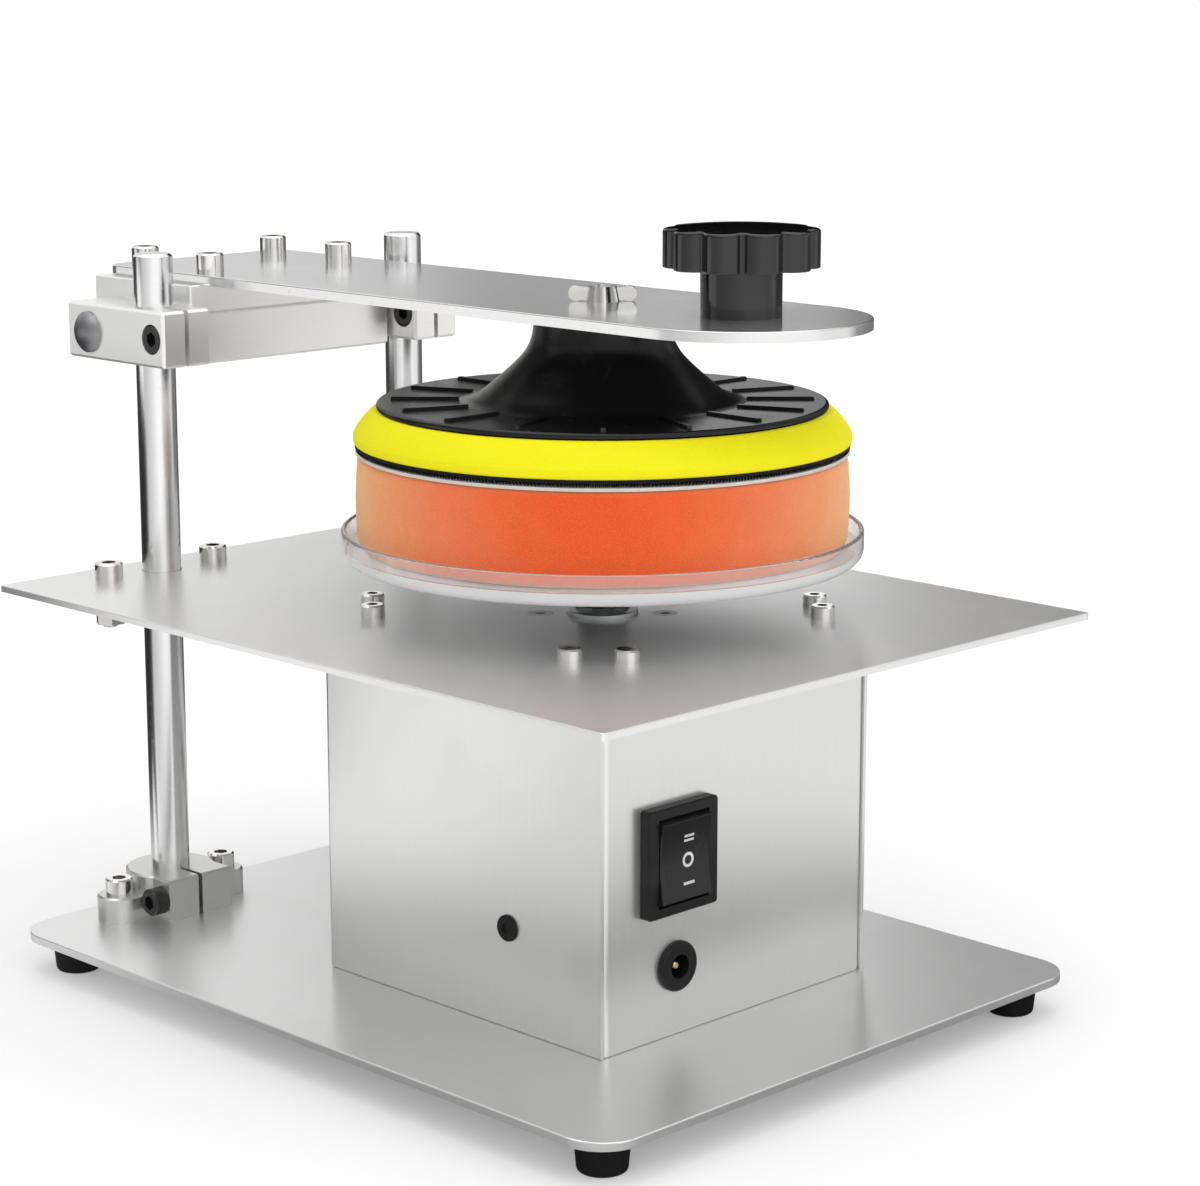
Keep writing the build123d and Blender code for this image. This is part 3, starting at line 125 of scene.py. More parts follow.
def new_material(name, **shader_values):
    """A material with one Principled shader, whose constant values sit on its own sockets."""
    made = bpy.data.materials.new(name)
    made.use_nodes = True
    shader = made.node_tree.nodes["Principled BSDF"]
    for label, value in shader_values.items():
        socket = shader.inputs[label.replace("_", " ")]
        socket.default_value = value
    return made, made.node_tree, shader


def spread(tree, value, low, high):
    """Turn a pattern that runs from 0 to 1 into one that runs from low to high."""
    mapped = add_node(tree, "ShaderNodeMapRange", {"Value": value, "To Min": low, "To Max": high})
    return mapped.outputs["Result"]


def blend_colours(tree, mask, first, second):
    """First colour where the mask is 0, second colour where it is 1."""
    mixed = add_node(tree, "ShaderNodeMix", data_type="RGBA")
    tree.links.new(mask, mixed.inputs[0])
    for slot_number, colour in ((6, first), (7, second)):
        if isinstance(colour, bpy.types.NodeSocket):
            tree.links.new(colour, mixed.inputs[slot_number])
        else:
            mixed.inputs[slot_number].default_value = colour
    return mixed.outputs[2]


def raise_surface(tree, shader, height, distance):
    """A bump of that many metres, from a pattern."""
    bump = add_node(tree, "ShaderNodeBump", {"Height": height, "Distance": distance, "Strength": 1.0})
    tree.links.new(bump.outputs["Normal"], shader.inputs["Normal"])


def grey(level):
    """A neutral colour of that brightness."""
    return (level, level, level, 1.0)


def tinted(colour, factor, lift=0.0):
    """A colour made lighter or darker by a factor, and lifted a little, but never past white."""
    return tuple(min(channel * factor + lift, 1.0) for channel in colour[:3]) + (1.0,)


# %% [markdown]
# ## Patterns that several finishes share
# Brushed steel, a cast skin and moulded plastic differ in scale and strength more than in
# kind, so each effect is made once as a node group, and every material places it with its own
# values. The groups put out plain values between 0 and 1. What those mean, such as a rougher
# spot or a hollow, is decided in the material.


# %% Grain: long fine streaks, as abrasive paper leaves on sheet metal
def make_grain_group():
    """Noise that is squeezed across the brushing direction and stretched along it."""
    group, given, out = new_group(
        "brushed grain",
        [("Lines per metre", "NodeSocketVector", (40.0, 3500.0, 3500.0))],
        [("Tone", "NodeSocketFloat")],
    )
    place = add_node(group, "ShaderNodeTexCoord")
    squeezed = add_node(
        group,
        "ShaderNodeVectorMath",
        {0: place.outputs["Object"], 1: given.outputs["Lines per metre"]},
        operation="MULTIPLY",
    )
    streaks = add_node(
        group,
        "ShaderNodeTexNoise",
        {"Vector": squeezed.outputs[0], "Scale": 1.0, "Detail": 3.0, "Roughness": 0.65},
    )
    even = add_node(
        group, "ShaderNodeMapRange", {"Value": streaks.outputs["Fac"], "From Min": 0.3, "From Max": 0.7}
    )
    group.links.new(even.outputs["Result"], out.inputs["Tone"])
    return group


# %% Handling: wide faint patches where hands and cloths have been
def make_handling_group():
    """Soft blotches, a few centimetres across."""
    group, given, out = new_group(
        "handling marks",
        [("Patches per metre", "NodeSocketFloat", 30.0), ("Cover", "NodeSocketFloat", 0.45)],
        [("Mask", "NodeSocketFloat")],
    )
    place = add_node(group, "ShaderNodeTexCoord")
    patches = add_node(
        group,
        "ShaderNodeTexNoise",
        {
            "Vector": place.outputs["Object"],
            "Scale": given.outputs["Patches per metre"],
            "Detail": 4.0,
            "Roughness": 0.55,
            "Distortion": 0.6,
        },
    )
    start = add_node(
        group, "ShaderNodeMath", {0: 1.0, 1: given.outputs["Cover"]}, operation="SUBTRACT"
    )
    mask = add_node(
        group,
        "ShaderNodeMapRange",
        {"Value": patches.outputs["Fac"], "From Min": start.outputs[0], "From Max": 0.75},
        interpolation_type="SMOOTHSTEP",
    )
    group.links.new(mask.outputs["Result"], out.inputs["Mask"])
    return group


# %% Scratches: a few hair lines that cross the grain
def make_scratch_group():
    """Two sets of very long thin noise cells, cut off so that only their crests are left."""
    group, given, out = new_group(
        "hair scratches",
        [("Lines per metre", "NodeSocketFloat", 900.0), ("Rarity", "NodeSocketFloat", 0.7)],
        [("Mask", "NodeSocketFloat")],
    )
    place = add_node(group, "ShaderNodeTexCoord")
    sets = []
    for turn in (0.4, 2.1):
        turned = add_node(
            group,
            "ShaderNodeVectorRotate",
            {"Vector": place.outputs["Object"], "Axis": (0.3, 0.2, 0.9), "Angle": turn},
            rotation_type="AXIS_ANGLE",
        )
        stretched = add_node(
            group,
            "ShaderNodeVectorMath",
            {0: turned.outputs[0], 1: (0.03, 1.0, 1.0)},
            operation="MULTIPLY",
        )
        cells = add_node(
            group,
            "ShaderNodeTexNoise",
            {"Vector": stretched.outputs[0], "Scale": given.outputs["Lines per metre"], "Detail": 0.0},
        )
        crest = add_node(
            group,
            "ShaderNodeMapRange",
            {"Value": cells.outputs["Fac"], "From Min": given.outputs["Rarity"], "From Max": 0.82},
        )
        sets.append(crest.outputs["Result"])
    both = add_node(group, "ShaderNodeMath", {0: sets[0], 1: sets[1]}, operation="MAXIMUM")
    group.links.new(both.outputs[0], out.inputs["Mask"])
    return group


# %% Skin: the fine pebbled surface of a casting, a moulding or a rubber part
def make_skin_group():
    """Two sizes of noise, one on the other."""
    group, given, out = new_group(
        "moulded skin",
        [("Grains per metre", "NodeSocketFloat", 1200.0)],
        [("Height", "NodeSocketFloat")],
    )
    place = add_node(group, "ShaderNodeTexCoord")
    grains = add_node(
        group,
        "ShaderNodeTexNoise",
        {
            "Vector": place.outputs["Object"],
            "Scale": given.outputs["Grains per metre"],
            "Detail": 3.0,
            "Roughness": 0.6,
        },
    )
    group.links.new(grains.outputs["Fac"], out.inputs["Height"])
    return group


# %% Pores: the open cells of foam
def make_pore_group():
    """Voronoi cells: 0 in the middle of a pore, 1 on the walls between pores."""
    group, given, out = new_group(
        "foam pores",
        [("Pores per metre", "NodeSocketFloat", 1500.0)],
        [("Wall", "NodeSocketFloat"), ("Mottle", "NodeSocketFloat")],
    )
    place = add_node(group, "ShaderNodeTexCoord")
    cells = add_node(
        group,
        "ShaderNodeTexVoronoi",
        {"Vector": place.outputs["Object"], "Scale": given.outputs["Pores per metre"], "Randomness": 1.0},
    )
    wall = add_node(
        group,
        "ShaderNodeMapRange",
        {"Value": cells.outputs["Distance"], "From Min": 0.1, "From Max": 0.65},
        interpolation_type="SMOOTHSTEP",
    )
    clouds = add_node(
        group, "ShaderNodeTexNoise", {"Vector": place.outputs["Object"], "Scale": 140.0, "Detail": 3.0}
    )
    group.links.new(wall.outputs["Result"], out.inputs["Wall"])
    group.links.new(clouds.outputs["Fac"], out.inputs["Mottle"])
    return group


# %% Build the five groups
shared = [
    make_grain_group(),
    make_handling_group(),
    make_scratch_group(),
    make_skin_group(),
    make_pore_group(),
]
print("groups:", [group.name for group in shared])

# %% [markdown]
# ## The metals
# The plates are brushed stainless sheet: bright, slightly blurred in reflection, with streaks
# so fine that they only show close up. The posts are ground rod, the supports are castings and
# the blocks are milled and tumbled. All of them are the same recipe with other values, so one
# function makes them: a base colour that the grain lightens and darkens a little, a roughness
# that hands and scratches vary, and a bump far below a tenth of a millimetre. Sheet that is
# brushed this finely also scatters light a little like paint does, and a metallic value just
# under one gives it that share.


# %% The metal recipe
def metal(name, colour, roughness, lines=None, skin=None, mirror=1.0, varied=0.03, depth=0.002):
    """Metal with brushed lines, or with a cast skin where skin gives its grains per metre."""
    made, tree, shader = new_material(name, Metallic=mirror)
    if skin:
        pattern = use_group(tree, "moulded skin", Grains_per_metre=skin).outputs["Height"]
    else:
        pattern = use_group(tree, "brushed grain", Lines_per_metre=lines).outputs["Tone"]
    hands = use_group(tree, "handling marks").outputs["Mask"]
    hairs = use_group(tree, "hair scratches", Rarity=0.74).outputs["Mask"]
    brushed = blend_colours(tree, pattern, tinted(colour, 0.97), tinted(colour, 1.02))
    tree.links.new(brushed, shader.inputs["Base Color"])
    soft = spread(tree, pattern, roughness - varied / 2, roughness + varied / 2)
    touched = add_node(tree, "ShaderNodeMath", {0: hands, 1: varied, 2: soft}, operation="MULTIPLY_ADD")
    scored = add_node(
        tree, "ShaderNodeMath", {0: hairs, 1: varied * 2, 2: touched.outputs[0]}, operation="MULTIPLY_ADD"
    )
    tree.links.new(scored.outputs[0], shader.inputs["Roughness"])
    raise_surface(tree, shader, pattern, depth * mm)
    return made


# %% Make the metals
along_x = (30.0, 4000.0, 4000.0)
along_y = (4000.0, 30.0, 4000.0)
along_z = (4000.0, 4000.0, 30.0)
around = (60.0, 60.0, 5000.0)

sheet_steel = metal("sheet_steel", (0.86, 0.86, 0.855, 1.0), 0.33, lines=along_x, mirror=0.74)
wall_steel = metal("wall_steel", (0.84, 0.84, 0.83, 1.0), 0.29, lines=along_z, mirror=0.86, depth=0.0003)
arm_steel = metal("arm_steel", (0.82, 0.82, 0.815, 1.0), 0.17, lines=along_y, mirror=0.85, depth=0.001)
polished_rod = metal("polished_rod", (0.88, 0.88, 0.88, 1.0), 0.2, lines=around)
cast_alloy = metal("cast_alloy", (0.72, 0.72, 0.71, 1.0), 0.34, skin=1400.0, mirror=0.9, depth=0.04)
machined_alloy = metal(
    "machined_alloy", (0.97, 0.97, 0.955, 1.0), 0.30, lines=along_x, mirror=0.72, varied=0.02, depth=0.0004
)
bright_fasteners = metal("bright_fasteners", (0.86, 0.85, 0.83, 1.0), 0.13, lines=around)
dull_fasteners = metal("dull_fasteners", (0.66, 0.66, 0.65, 1.0), 0.4, lines=around, mirror=0.8)
pivot_steel = metal("pivot_steel", (0.34, 0.34, 0.35, 1.0), 0.42, lines=around)
motor_steel = metal("motor_steel", (0.62, 0.63, 0.64, 1.0), 0.32, lines=around)
motor_iron = metal("motor_iron", (0.22, 0.22, 0.23, 1.0), 0.5, skin=900.0, depth=0.03)
contact_brass = metal("contact_brass", (0.85, 0.68, 0.33, 1.0), 0.28, lines=along_z)
print("sheet metals:", sheet_steel.name, wall_steel.name, arm_steel.name)

# %% [markdown]
# ## The plastics and rubbers
# The knob and the backing pad are glossy black mouldings that mirror the lamps. The switch is
# the same plastic with a satin skin, and the feet are matt rubber that has picked up a little
# dust. The colour hardly matters on black parts, the way they shine does: gloss is a low
# roughness, a skin is a small bump, and rubber is rough all over.


# %% The moulding recipe
def moulding(name, colour, roughness, grains, depth, varied=0.06, shine=0.5):
    """A moulded or rubber part with a fine skin and faint handling marks."""
    made, tree, shader = new_material(name, Metallic=0.0, Specular_IOR_Level=shine)
    skin = use_group(tree, "moulded skin", Grains_per_metre=grains).outputs["Height"]
    hands = use_group(tree, "handling marks", Patches_per_metre=45.0).outputs["Mask"]
    worn = tinted(colour, 1.6, lift=0.004)
    tree.links.new(blend_colours(tree, hands, colour, worn), shader.inputs["Base Color"])
    tree.links.new(spread(tree, hands, roughness, roughness + varied), shader.inputs["Roughness"])
    raise_surface(tree, shader, skin, depth * mm)
    return made


# %% Make the plastics and rubbers
black_gloss = moulding("black_gloss", grey(0.008), 0.09, 500.0, 0.002, shine=0.6)
pad_gloss = moulding("pad_gloss", grey(0.004), 0.25, 260.0, 0.015, shine=0.35)
black_moulding = moulding("black_moulding", grey(0.008), 0.34, 2600.0, 0.02, shine=0.25)
rocker_black = moulding("rocker_black", grey(0.012), 0.26, 1800.0, 0.01, shine=0.3)
black_rubber = moulding("black_rubber", grey(0.008), 0.6, 1500.0, 0.06, varied=0.12, shine=0.25)
black_oxide = moulding("black_oxide", grey(0.010), 0.30, 2200.0, 0.01, shine=0.6)
mounting_tape = moulding("mounting_tape", grey(0.75), 0.85, 2500.0, 0.05)
print("black plastics:", black_gloss.name, pad_gloss.name, black_moulding.name, rocker_black.name)

# %% [markdown]
# ## The clear platter
# The platter is a turned acrylic disc with a thin ring bonded round it. The disc is matt from
# wear, so it looks white, and the polished ring lets the sponge show through. A mix of a glass
# and a white shader would do this, but the exporter reads one Principled shader best. So one
# recipe makes both, and the milkiness is a low transmission weight.


# %% The acrylic recipe
def acrylic(name, colour, clearness, smoothest, roughest, depth):
    """Clear plastic, where clearness is the share of the light that goes through it."""
    made, tree, shader = new_material(name, Metallic=0.0, IOR=1.49, Transmission_Weight=clearness)
    frost = use_group(tree, "moulded skin", Grains_per_metre=700.0).outputs["Height"]
    hands = use_group(tree, "handling marks").outputs["Mask"]
    shader.inputs["Base Color"].default_value = colour
    tree.links.new(spread(tree, hands, smoothest, roughest), shader.inputs["Roughness"])
    raise_surface(tree, shader, frost, depth * mm)
    print(name, "lets through", clearness)
    return made


# %% Make the disc and the ring
clear_acrylic = acrylic("clear_acrylic", (0.975, 0.975, 0.98, 1.0), 0.3, 0.16, 0.24, 0.003)
clear_ring = acrylic("clear_ring", (0.98, 0.98, 0.985, 1.0), 0.9, 0.06, 0.14, 0.001)

# %% [markdown]
# ## The foams and the hook and loop
# The sponge and the firmer yellow pad are foams. Light goes a little way into them, and the
# cut cells on the surface catch it at a glancing angle, which is why the sponge's sides look
# paler near its outline. Sheen on the shader does some of that. For the sponge, a Layer Weight
# node also paints the sheen's colour into the base colour towards the outline, as a painted
# sheen. The pores are a bump, and the bump's hollows are painted darker, as painted shade that
# a mottle varies.


# %% The foam recipe
def foam(name, colour, pore_shade_colour, roughness, pores, depth, sheen, sheen_tint, painted_sheen=0.0):
    """Foam with pores, painted shade in their hollows, a mottle, and a sheen whose colour painted_sheen also
    paints in at a glancing angle.
    """
    made, tree, shader = new_material(name, Metallic=0.0, Sheen_Weight=sheen, Sheen_Roughness=0.35)
    shader.inputs["Sheen Tint"].default_value = sheen_tint
    shader.inputs["Specular IOR Level"].default_value = 0.08
    cells = use_group(tree, "foam pores", Pores_per_metre=pores)
    shade = add_node(
        tree,
        "ShaderNodeMath",
        {0: cells.outputs["Mottle"], 1: 0.5, 2: 0.1},
        operation="MULTIPLY_ADD",
    )
    # Painted shade: the foam is painted darker in the bump's hollows between the pores, more where the
    # mottle is high.
    pore_shade = add_node(
        tree, "ShaderNodeMath", {0: cells.outputs["Wall"], 1: shade.outputs[0]}, operation="MULTIPLY"
    )
    surface = blend_colours(tree, pore_shade.outputs[0], colour, pore_shade_colour)
    if painted_sheen:
        # Painted sheen: the sheen's pale colour is painted into the base colour where the surface turns away
        # from the view.
        slant = add_node(tree, "ShaderNodeLayerWeight", {"Blend": 0.5}).outputs["Facing"]
        surface = blend_colours(tree, spread(tree, slant, 0.0, painted_sheen), surface, sheen_tint)
    tree.links.new(surface, shader.inputs["Base Color"])
    tree.links.new(
        spread(tree, cells.outputs["Mottle"], roughness - 0.06, roughness + 0.06), shader.inputs["Roughness"]
    )
    raise_surface(tree, shader, cells.outputs["Wall"], -depth * mm)
    return made


# %% Make the foams and the tape
orange_sponge = foam(
    "orange_sponge",
    colour=(0.93, 0.125, 0.030, 1.0),
    pore_shade_colour=(0.66, 0.060, 0.012, 1.0),
    roughness=0.9,
    pores=1700.0,
    depth=0.10,
    sheen=0.5,
    sheen_tint=(0.98, 0.74, 0.40, 1.0),
    painted_sheen=0.7,
)
yellow_foam = foam(
    "yellow_foam",
    colour=(0.93, 0.87, 0.014, 1.0),
    pore_shade_colour=(0.84, 0.75, 0.006, 1.0),
    roughness=0.7,
    pores=2400.0,
    depth=0.03,
    sheen=0.0,
    sheen_tint=(1.0, 1.0, 0.6, 1.0),
)
hook_black = foam("hook_black", grey(0.012), grey(0.004), 0.55, 3000.0, 0.05, 0.1, grey(0.3))
loop_white = foam(
    "loop_white", (0.86, 0.83, 0.78, 1.0), (0.6, 0.56, 0.5, 1.0), 0.95, 2600.0, 0.08, 0.6, grey(1.0)
)
print("foams:", orange_sponge.name, yellow_foam.name, hook_black.name, loop_white.name)

# %% [markdown]
# ## Which part takes which finish
# A CAD part keeps its mesh and gets a better finish by having its material replaced. A plain
# table of finish and parts does that, and anything that the table forgot is printed, so that
# nothing is left in the exporter's grey.

# %% Give the CAD parts their finishes
finishes = {
    sheet_steel: ["base_plate", "deck_plate"],
    wall_steel: ["front_panel", "housing_wrap"],
    arm_steel: ["arm_plate"],
    polished_rod: ["left_post", "right_post", "motor_shaft", "disc_pin", "pad_stud"],
    cast_alloy: ["left_base_support", "right_base_support", "left_deck_support", "right_deck_support"],
    machined_alloy: ["left_clamp_block", "right_clamp_block", "hinge_bar", "arm_riser"],
    bright_fasteners: [
        "deck_screws", "base_screws", "base_support_bolts", "base_support_nuts", "deck_support_bolts",
        "deck_support_nuts", "arm_bolts", "wing_nut", "pivot_washers",
    ],
    dull_fasteners: ["motor_screws", "platter_screws", "deck_clinch_nuts", "base_clinch_nuts"],
    pivot_steel: ["pivot_pins"],
    black_oxide: ["support_clamp_screws", "block_screws", "hub_set_screw", "knob_screw"],
    motor_steel: ["motor_bell", "motor_can"],
    motor_iron: ["armature", "motor_magnets"],
    contact_brass: ["motor_terminals", "switch_terminals", "inlet_pin", "inlet_nut"],
    black_gloss: ["knob", "platter_hub"],
    pad_gloss: ["backing_pad"],
    rocker_black: ["rocker"],
    black_moulding: ["switch_body", "inlet_socket", "brush_cap"],
    black_rubber: ["rubber_feet", "wall_plug"],
    mounting_tape: ["foot_tape"],
    clear_acrylic: ["platter"],
    clear_ring: ["platter_rim"],
}
soft_nodes = ["yellow_foam", "hook_layer", "loop_layer", "sponge_pad"]
finished = set(soft_nodes)
for finish, names in finishes.items():
    for name in names:
        nodes[name].data.materials.clear()
        nodes[name].data.materials.append(finish)
        finished.add(name)
print("without a finish:", sorted(set(nodes) - finished))

# %% [markdown]
# ## The pad's layers
# Under the black backing pad come four soft layers: firm yellow foam, a black sheet of hooks,
# the white loop backing, and the orange sponge. Their CAD solids hold the space and carry the
# contacts. Here each becomes a turned shape with its own surface. Turning a profile by hand in
# bmesh, rather than with a Screw modifier, lets every ring be pushed in and out a little, so
# that the foam isn't a perfect cylinder.


# %% Turning helpers
def piece_from(mesh, name):
    """End a bmesh and make an object of it, which isn't in the scene yet."""
    data = bpy.data.meshes.new(name)
    mesh.to_mesh(data)
    mesh.free()
    return bpy.data.objects.new(name, data)


def turned_foam(name, profile, centre, facets, roughen):
    """Turn a profile of (radius, height) about the spindle, and push its points about by roughen."""
    mesh = bmesh.new()
    rings = []
    for radius, height in profile:
        if radius == 0.0:
            rings.append([mesh.verts.new((centre.x, centre.y, height))])
            continue
        ring = []
        for number in range(facets):
            angle = 2 * pi * number / facets
            direction = Vector((cos(angle), sin(angle), 0.0))
            place = Vector((centre.x, centre.y, height)) + direction * radius
            offset = roughen(place, direction, radius, height)
            ring.append(mesh.verts.new(place + offset))
        rings.append(ring)
    for lower, upper in zip(rings, rings[1:]):
        for number in range(facets):
            after = (number + 1) % facets
            if len(lower) == 1:
                corners = (lower[0], upper[after], upper[number])
            elif len(upper) == 1:
                corners = (lower[number], lower[after], upper[0])
            else:
                corners = (lower[number], lower[after], upper[after], upper[number])
            mesh.faces.new(corners)
    bmesh.ops.recalc_face_normals(mesh, faces=mesh.faces)
    piece = piece_from(mesh, name)
    piece.data.shade_smooth()
    scene.collection.objects.link(piece)
    return piece


def dress(piece, material, body):
    """Material, and the body that the piece moves with."""
    piece.data.materials.append(material)
    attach(piece, body)
    return piece


def middle_of(node):
    """The middle of a CAD part's box."""
    low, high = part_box(node)
    return (low + high) / 2


def wobble(place, per_metre, amount):
    """A smooth push in or out, the same for the same place."""
    return noise.noise(place * per_metre) * amount


spindle = middle_of("platter_hub")
spindle.z = 0.0
print("spindle at", [round(value, 4) for value in spindle])

# %% [markdown]
# ### The orange sponge
# The sponge is a sawn block of open foam. Its side bulges slightly between a rounded top edge
# and a bottom edge that rests on the disc, and its cut surface is never quite flat. A recess in
# its underside goes over the disc pin. The profile follows the CAD solid's box, with a few
# tenths of a millimetre of unevenness kept inside it.

# %% Make the sponge
sponge_low, sponge_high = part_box("sponge_pad")
sponge_radius = (sponge_high.x - sponge_low.x) / 2
sponge_edge = 2.2 * mm
sponge_belly = 0.5 * mm
sponge_wave, sponge_fuzz = 0.22 * mm, 0.10 * mm
recess_radius, recess_depth = 12.0 * mm, 10.0 * mm
side_rings = 26
underside_rings = 10


def rounded_corner(radius, height, edge, start, steps=6):
    """Points on a quarter circle, from the angle start, a quarter turn on."""
    return [
        (
            radius - edge + edge * cos(start + pi / 2 * step / steps),
            height + edge * sin(start + pi / 2 * step / steps),
        )
        for step in range(steps + 1)
    ]


def sponge_profile():
    """From the middle of the recess, round the outside, to the middle of the top."""
    low, high = sponge_low.z, sponge_high.z
    profile = [(0.0, low + recess_depth), (recess_radius, low + recess_depth), (recess_radius, low)]
    ring_step = (sponge_radius - recess_radius) / underside_rings
    profile += [(recess_radius + ring_step * step, low) for step in range(1, underside_rings)]
    profile += rounded_corner(sponge_radius - sponge_belly, low + sponge_edge, sponge_edge, -pi / 2)
    for step in range(1, side_rings):
        share = step / side_rings
        height = low + sponge_edge + (high - low - 2 * sponge_edge) * share
        profile.append((sponge_radius - sponge_belly * (2 * share - 1) ** 2, height))
    profile += rounded_corner(sponge_radius - sponge_belly, high - sponge_edge, sponge_edge, 0.0)
    return profile + [(0.0, high)]


def sponge_wobble(place, direction, radius, height):
    """Slow waves and fine fuzz on the side, which both stay inside the box."""
    if radius < sponge_radius - sponge_edge:
        return Vector()
    wide = wobble(place, 90.0, sponge_wave)
    fine = wobble(place, 900.0, sponge_fuzz)
    return direction * (wide + fine - (sponge_wave + sponge_fuzz))


sponge = turned_foam("orange_sponge", sponge_profile(), spindle, 360, sponge_wobble)
dress(sponge, orange_sponge, "pad_arm")
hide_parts("sponge_pad")
sponge.visible_glossy = False
print("sponge:", len(sponge.data.polygons), "faces,", round(2000 * sponge_radius, 1), "mm across")

# %% [markdown]
# ### The yellow foam
# The yellow pad is a firmer, closed foam, moulded with a smooth skin. Its side is widest just
# above the hook sheet, and leans in over a soft shoulder to meet the backing pad. A straight
# slope would look like a cone and a circle arc like a ball, so the lean is a blend of a
# straight line and a squared one.

# %% Make the yellow foam
yellow_low, yellow_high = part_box("yellow_foam")
yellow_radius = (yellow_high.x - yellow_low.x) / 2
yellow_top_radius = 65.5 * mm
yellow_wall = 2.4 * mm
yellow_edge = 0.8 * mm
yellow_wave = 0.15 * mm
straight_share = 0.55
shoulder_rings = 18


def yellow_profile():
    """From the middle of the underside, round the shoulder, to the middle of the top."""
    low, high = yellow_low.z, yellow_high.z
    profile = [(0.0, low)]
    profile += [(yellow_radius * step / 8, low) for step in range(1, 8)]
    profile += rounded_corner(yellow_radius, low + yellow_edge, yellow_edge, -pi / 2, 4)
    shoulder = high - low - yellow_wall
    for step in range(shoulder_rings + 1):
        share = step / shoulder_rings
        lean = straight_share * share + (1 - straight_share) * share**2
        inwards = (yellow_radius - yellow_top_radius) * lean
        profile.append((yellow_radius - inwards, low + yellow_wall + shoulder * share))
    return profile + [(0.0, high)]


def yellow_wobble(place, direction, radius, height):
    """Slow waves on the side, which stay inside the box."""
    if radius < yellow_top_radius:
        return Vector()
    return direction * (wobble(place, 60.0, yellow_wave) - yellow_wave)


yellow = turned_foam("yellow_pad", yellow_profile(), spindle, 320, yellow_wobble)
dress(yellow, yellow_foam, "pad_arm")
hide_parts("yellow_foam")
yellow.visible_glossy = False
print("yellow foam:", len(yellow.data.polygons), "faces")

# %% [markdown]
# ### Hooks and loops
# The sponge is held by a sheet of small nylon hooks that grip a brushed loop backing, so that
# it can be peeled off and changed. From outside they are a thin black line over a thin pale
# one, both a little ragged. Each is a thin disc with a fringe: curved hooks on the black one,
# and short loose fibres on the white one. Only the outer rows are made, because the rest is
# shut in between the discs.


# %% Fringe helper
def add_fibre(mesh, points, thickness):
    """A thin three sided stalk through the points."""
    rings = []
    for number, point in enumerate(points):
        before = points[max(number - 1, 0)]
        after = points[min(number + 1, len(points) - 1)]
        run = (after - before).normalized()
        side = run.orthogonal().normalized()
        other = run.cross(side)
        taper = thickness * (1.0 if number < len(points) - 1 else 0.5)
        ring = []
        for corner in range(3):
            turn = 2 * pi * corner / 3
            ring.append(mesh.verts.new(point + (side * cos(turn) + other * sin(turn)) * taper))
        rings.append(ring)
    for lower, upper in zip(rings, rings[1:]):
        for corner in range(3):
            after = (corner + 1) % 3
            mesh.faces.new((lower[corner], lower[after], upper[after], upper[corner]))
    mesh.faces.new(rings[0][::-1])
    mesh.faces.new(rings[-1])


def fringe(piece, rows, per_row, fibre_points, thickness):
    """Add rows of fibres to a turned disc, each a little different from its neighbours."""
    mesh = bmesh.new()
    mesh.from_mesh(piece.data)
    for row, radius in enumerate(rows):
        for number in range(per_row):
            angle = 2 * pi * (number + 0.5 * (row % 2)) / per_row
            sample = Vector((number * 0.37, row * 5.1, 0.0))
            lean = noise.noise(sample) * 0.8
            direction = Vector((cos(angle), sin(angle), 0.0))
            sideways = Vector((-sin(angle), cos(angle), 0.0))
            root = spindle + direction * radius
            add_fibre(mesh, fibre_points(root, direction, sideways, lean), thickness)
    mesh.to_mesh(piece.data)
    mesh.free()


# %% Make the hook sheet
hook_low, hook_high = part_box("hook_layer")
hook_radius = (hook_high.x - hook_low.x) / 2
hook_backing = 0.9 * mm
hooks_per_row = 440
tape_wave = 0.12 * mm
ragged_from = 60.0 * mm


def flat_disc_profile(radius, low, high, edge=0.2 * mm):
    """A thin disc with rounded edges."""
    profile = [(0.0, low), (radius * 0.5, low)]
    profile += rounded_corner(radius, low + edge, edge, -pi / 2, 3)
    profile += rounded_corner(radius, high - edge, edge, 0.0, 3)
    return profile + [(radius * 0.5, high), (0.0, high)]


def tape_wobble(place, direction, radius, height):
    """A slightly ragged outer edge."""
    if radius < ragged_from:
        return Vector()
    return direction * (wobble(place, 300.0, tape_wave) - tape_wave)


def hook_points(root, direction, sideways, lean):
    """A stem that goes down and curls back up towards the spindle."""
    top = hook_high.z - hook_backing
    tip = hook_low.z + 0.15 * mm
    drop = top - tip
    side = sideways * lean * 0.4 * mm
    stem = root + Vector((0.0, 0.0, top + 0.1 * mm))
    return [
        stem,
        stem - Vector((0.0, 0.0, drop * 0.55)) + side,
        stem - Vector((0.0, 0.0, drop * 0.95)) + side - direction * 0.15 * mm,
        stem - Vector((0.0, 0.0, drop * 0.85)) + side - direction * 0.42 * mm,
        stem - Vector((0.0, 0.0, drop * 0.62)) + side - direction * 0.45 * mm,
    ]


hook_sheet = turned_foam(
    "hook_sheet",
    flat_disc_profile(hook_radius, hook_high.z - hook_backing, hook_high.z),
    spindle,
    320,
    tape_wobble,
)
hook_rows = [hook_radius - (0.35 + 0.75 * row) * mm for row in range(4)]
fringe(hook_sheet, hook_rows, hooks_per_row, hook_points, 0.11 * mm)
dress(hook_sheet, hook_black, "pad_arm")
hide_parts("hook_layer")
print("hook sheet:", len(hook_rows) * hooks_per_row, "hooks")

# %% Make the loop backing
loop_low, loop_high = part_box("loop_layer")
loop_radius = (loop_high.x - loop_low.x) / 2
fibres_per_row = 700


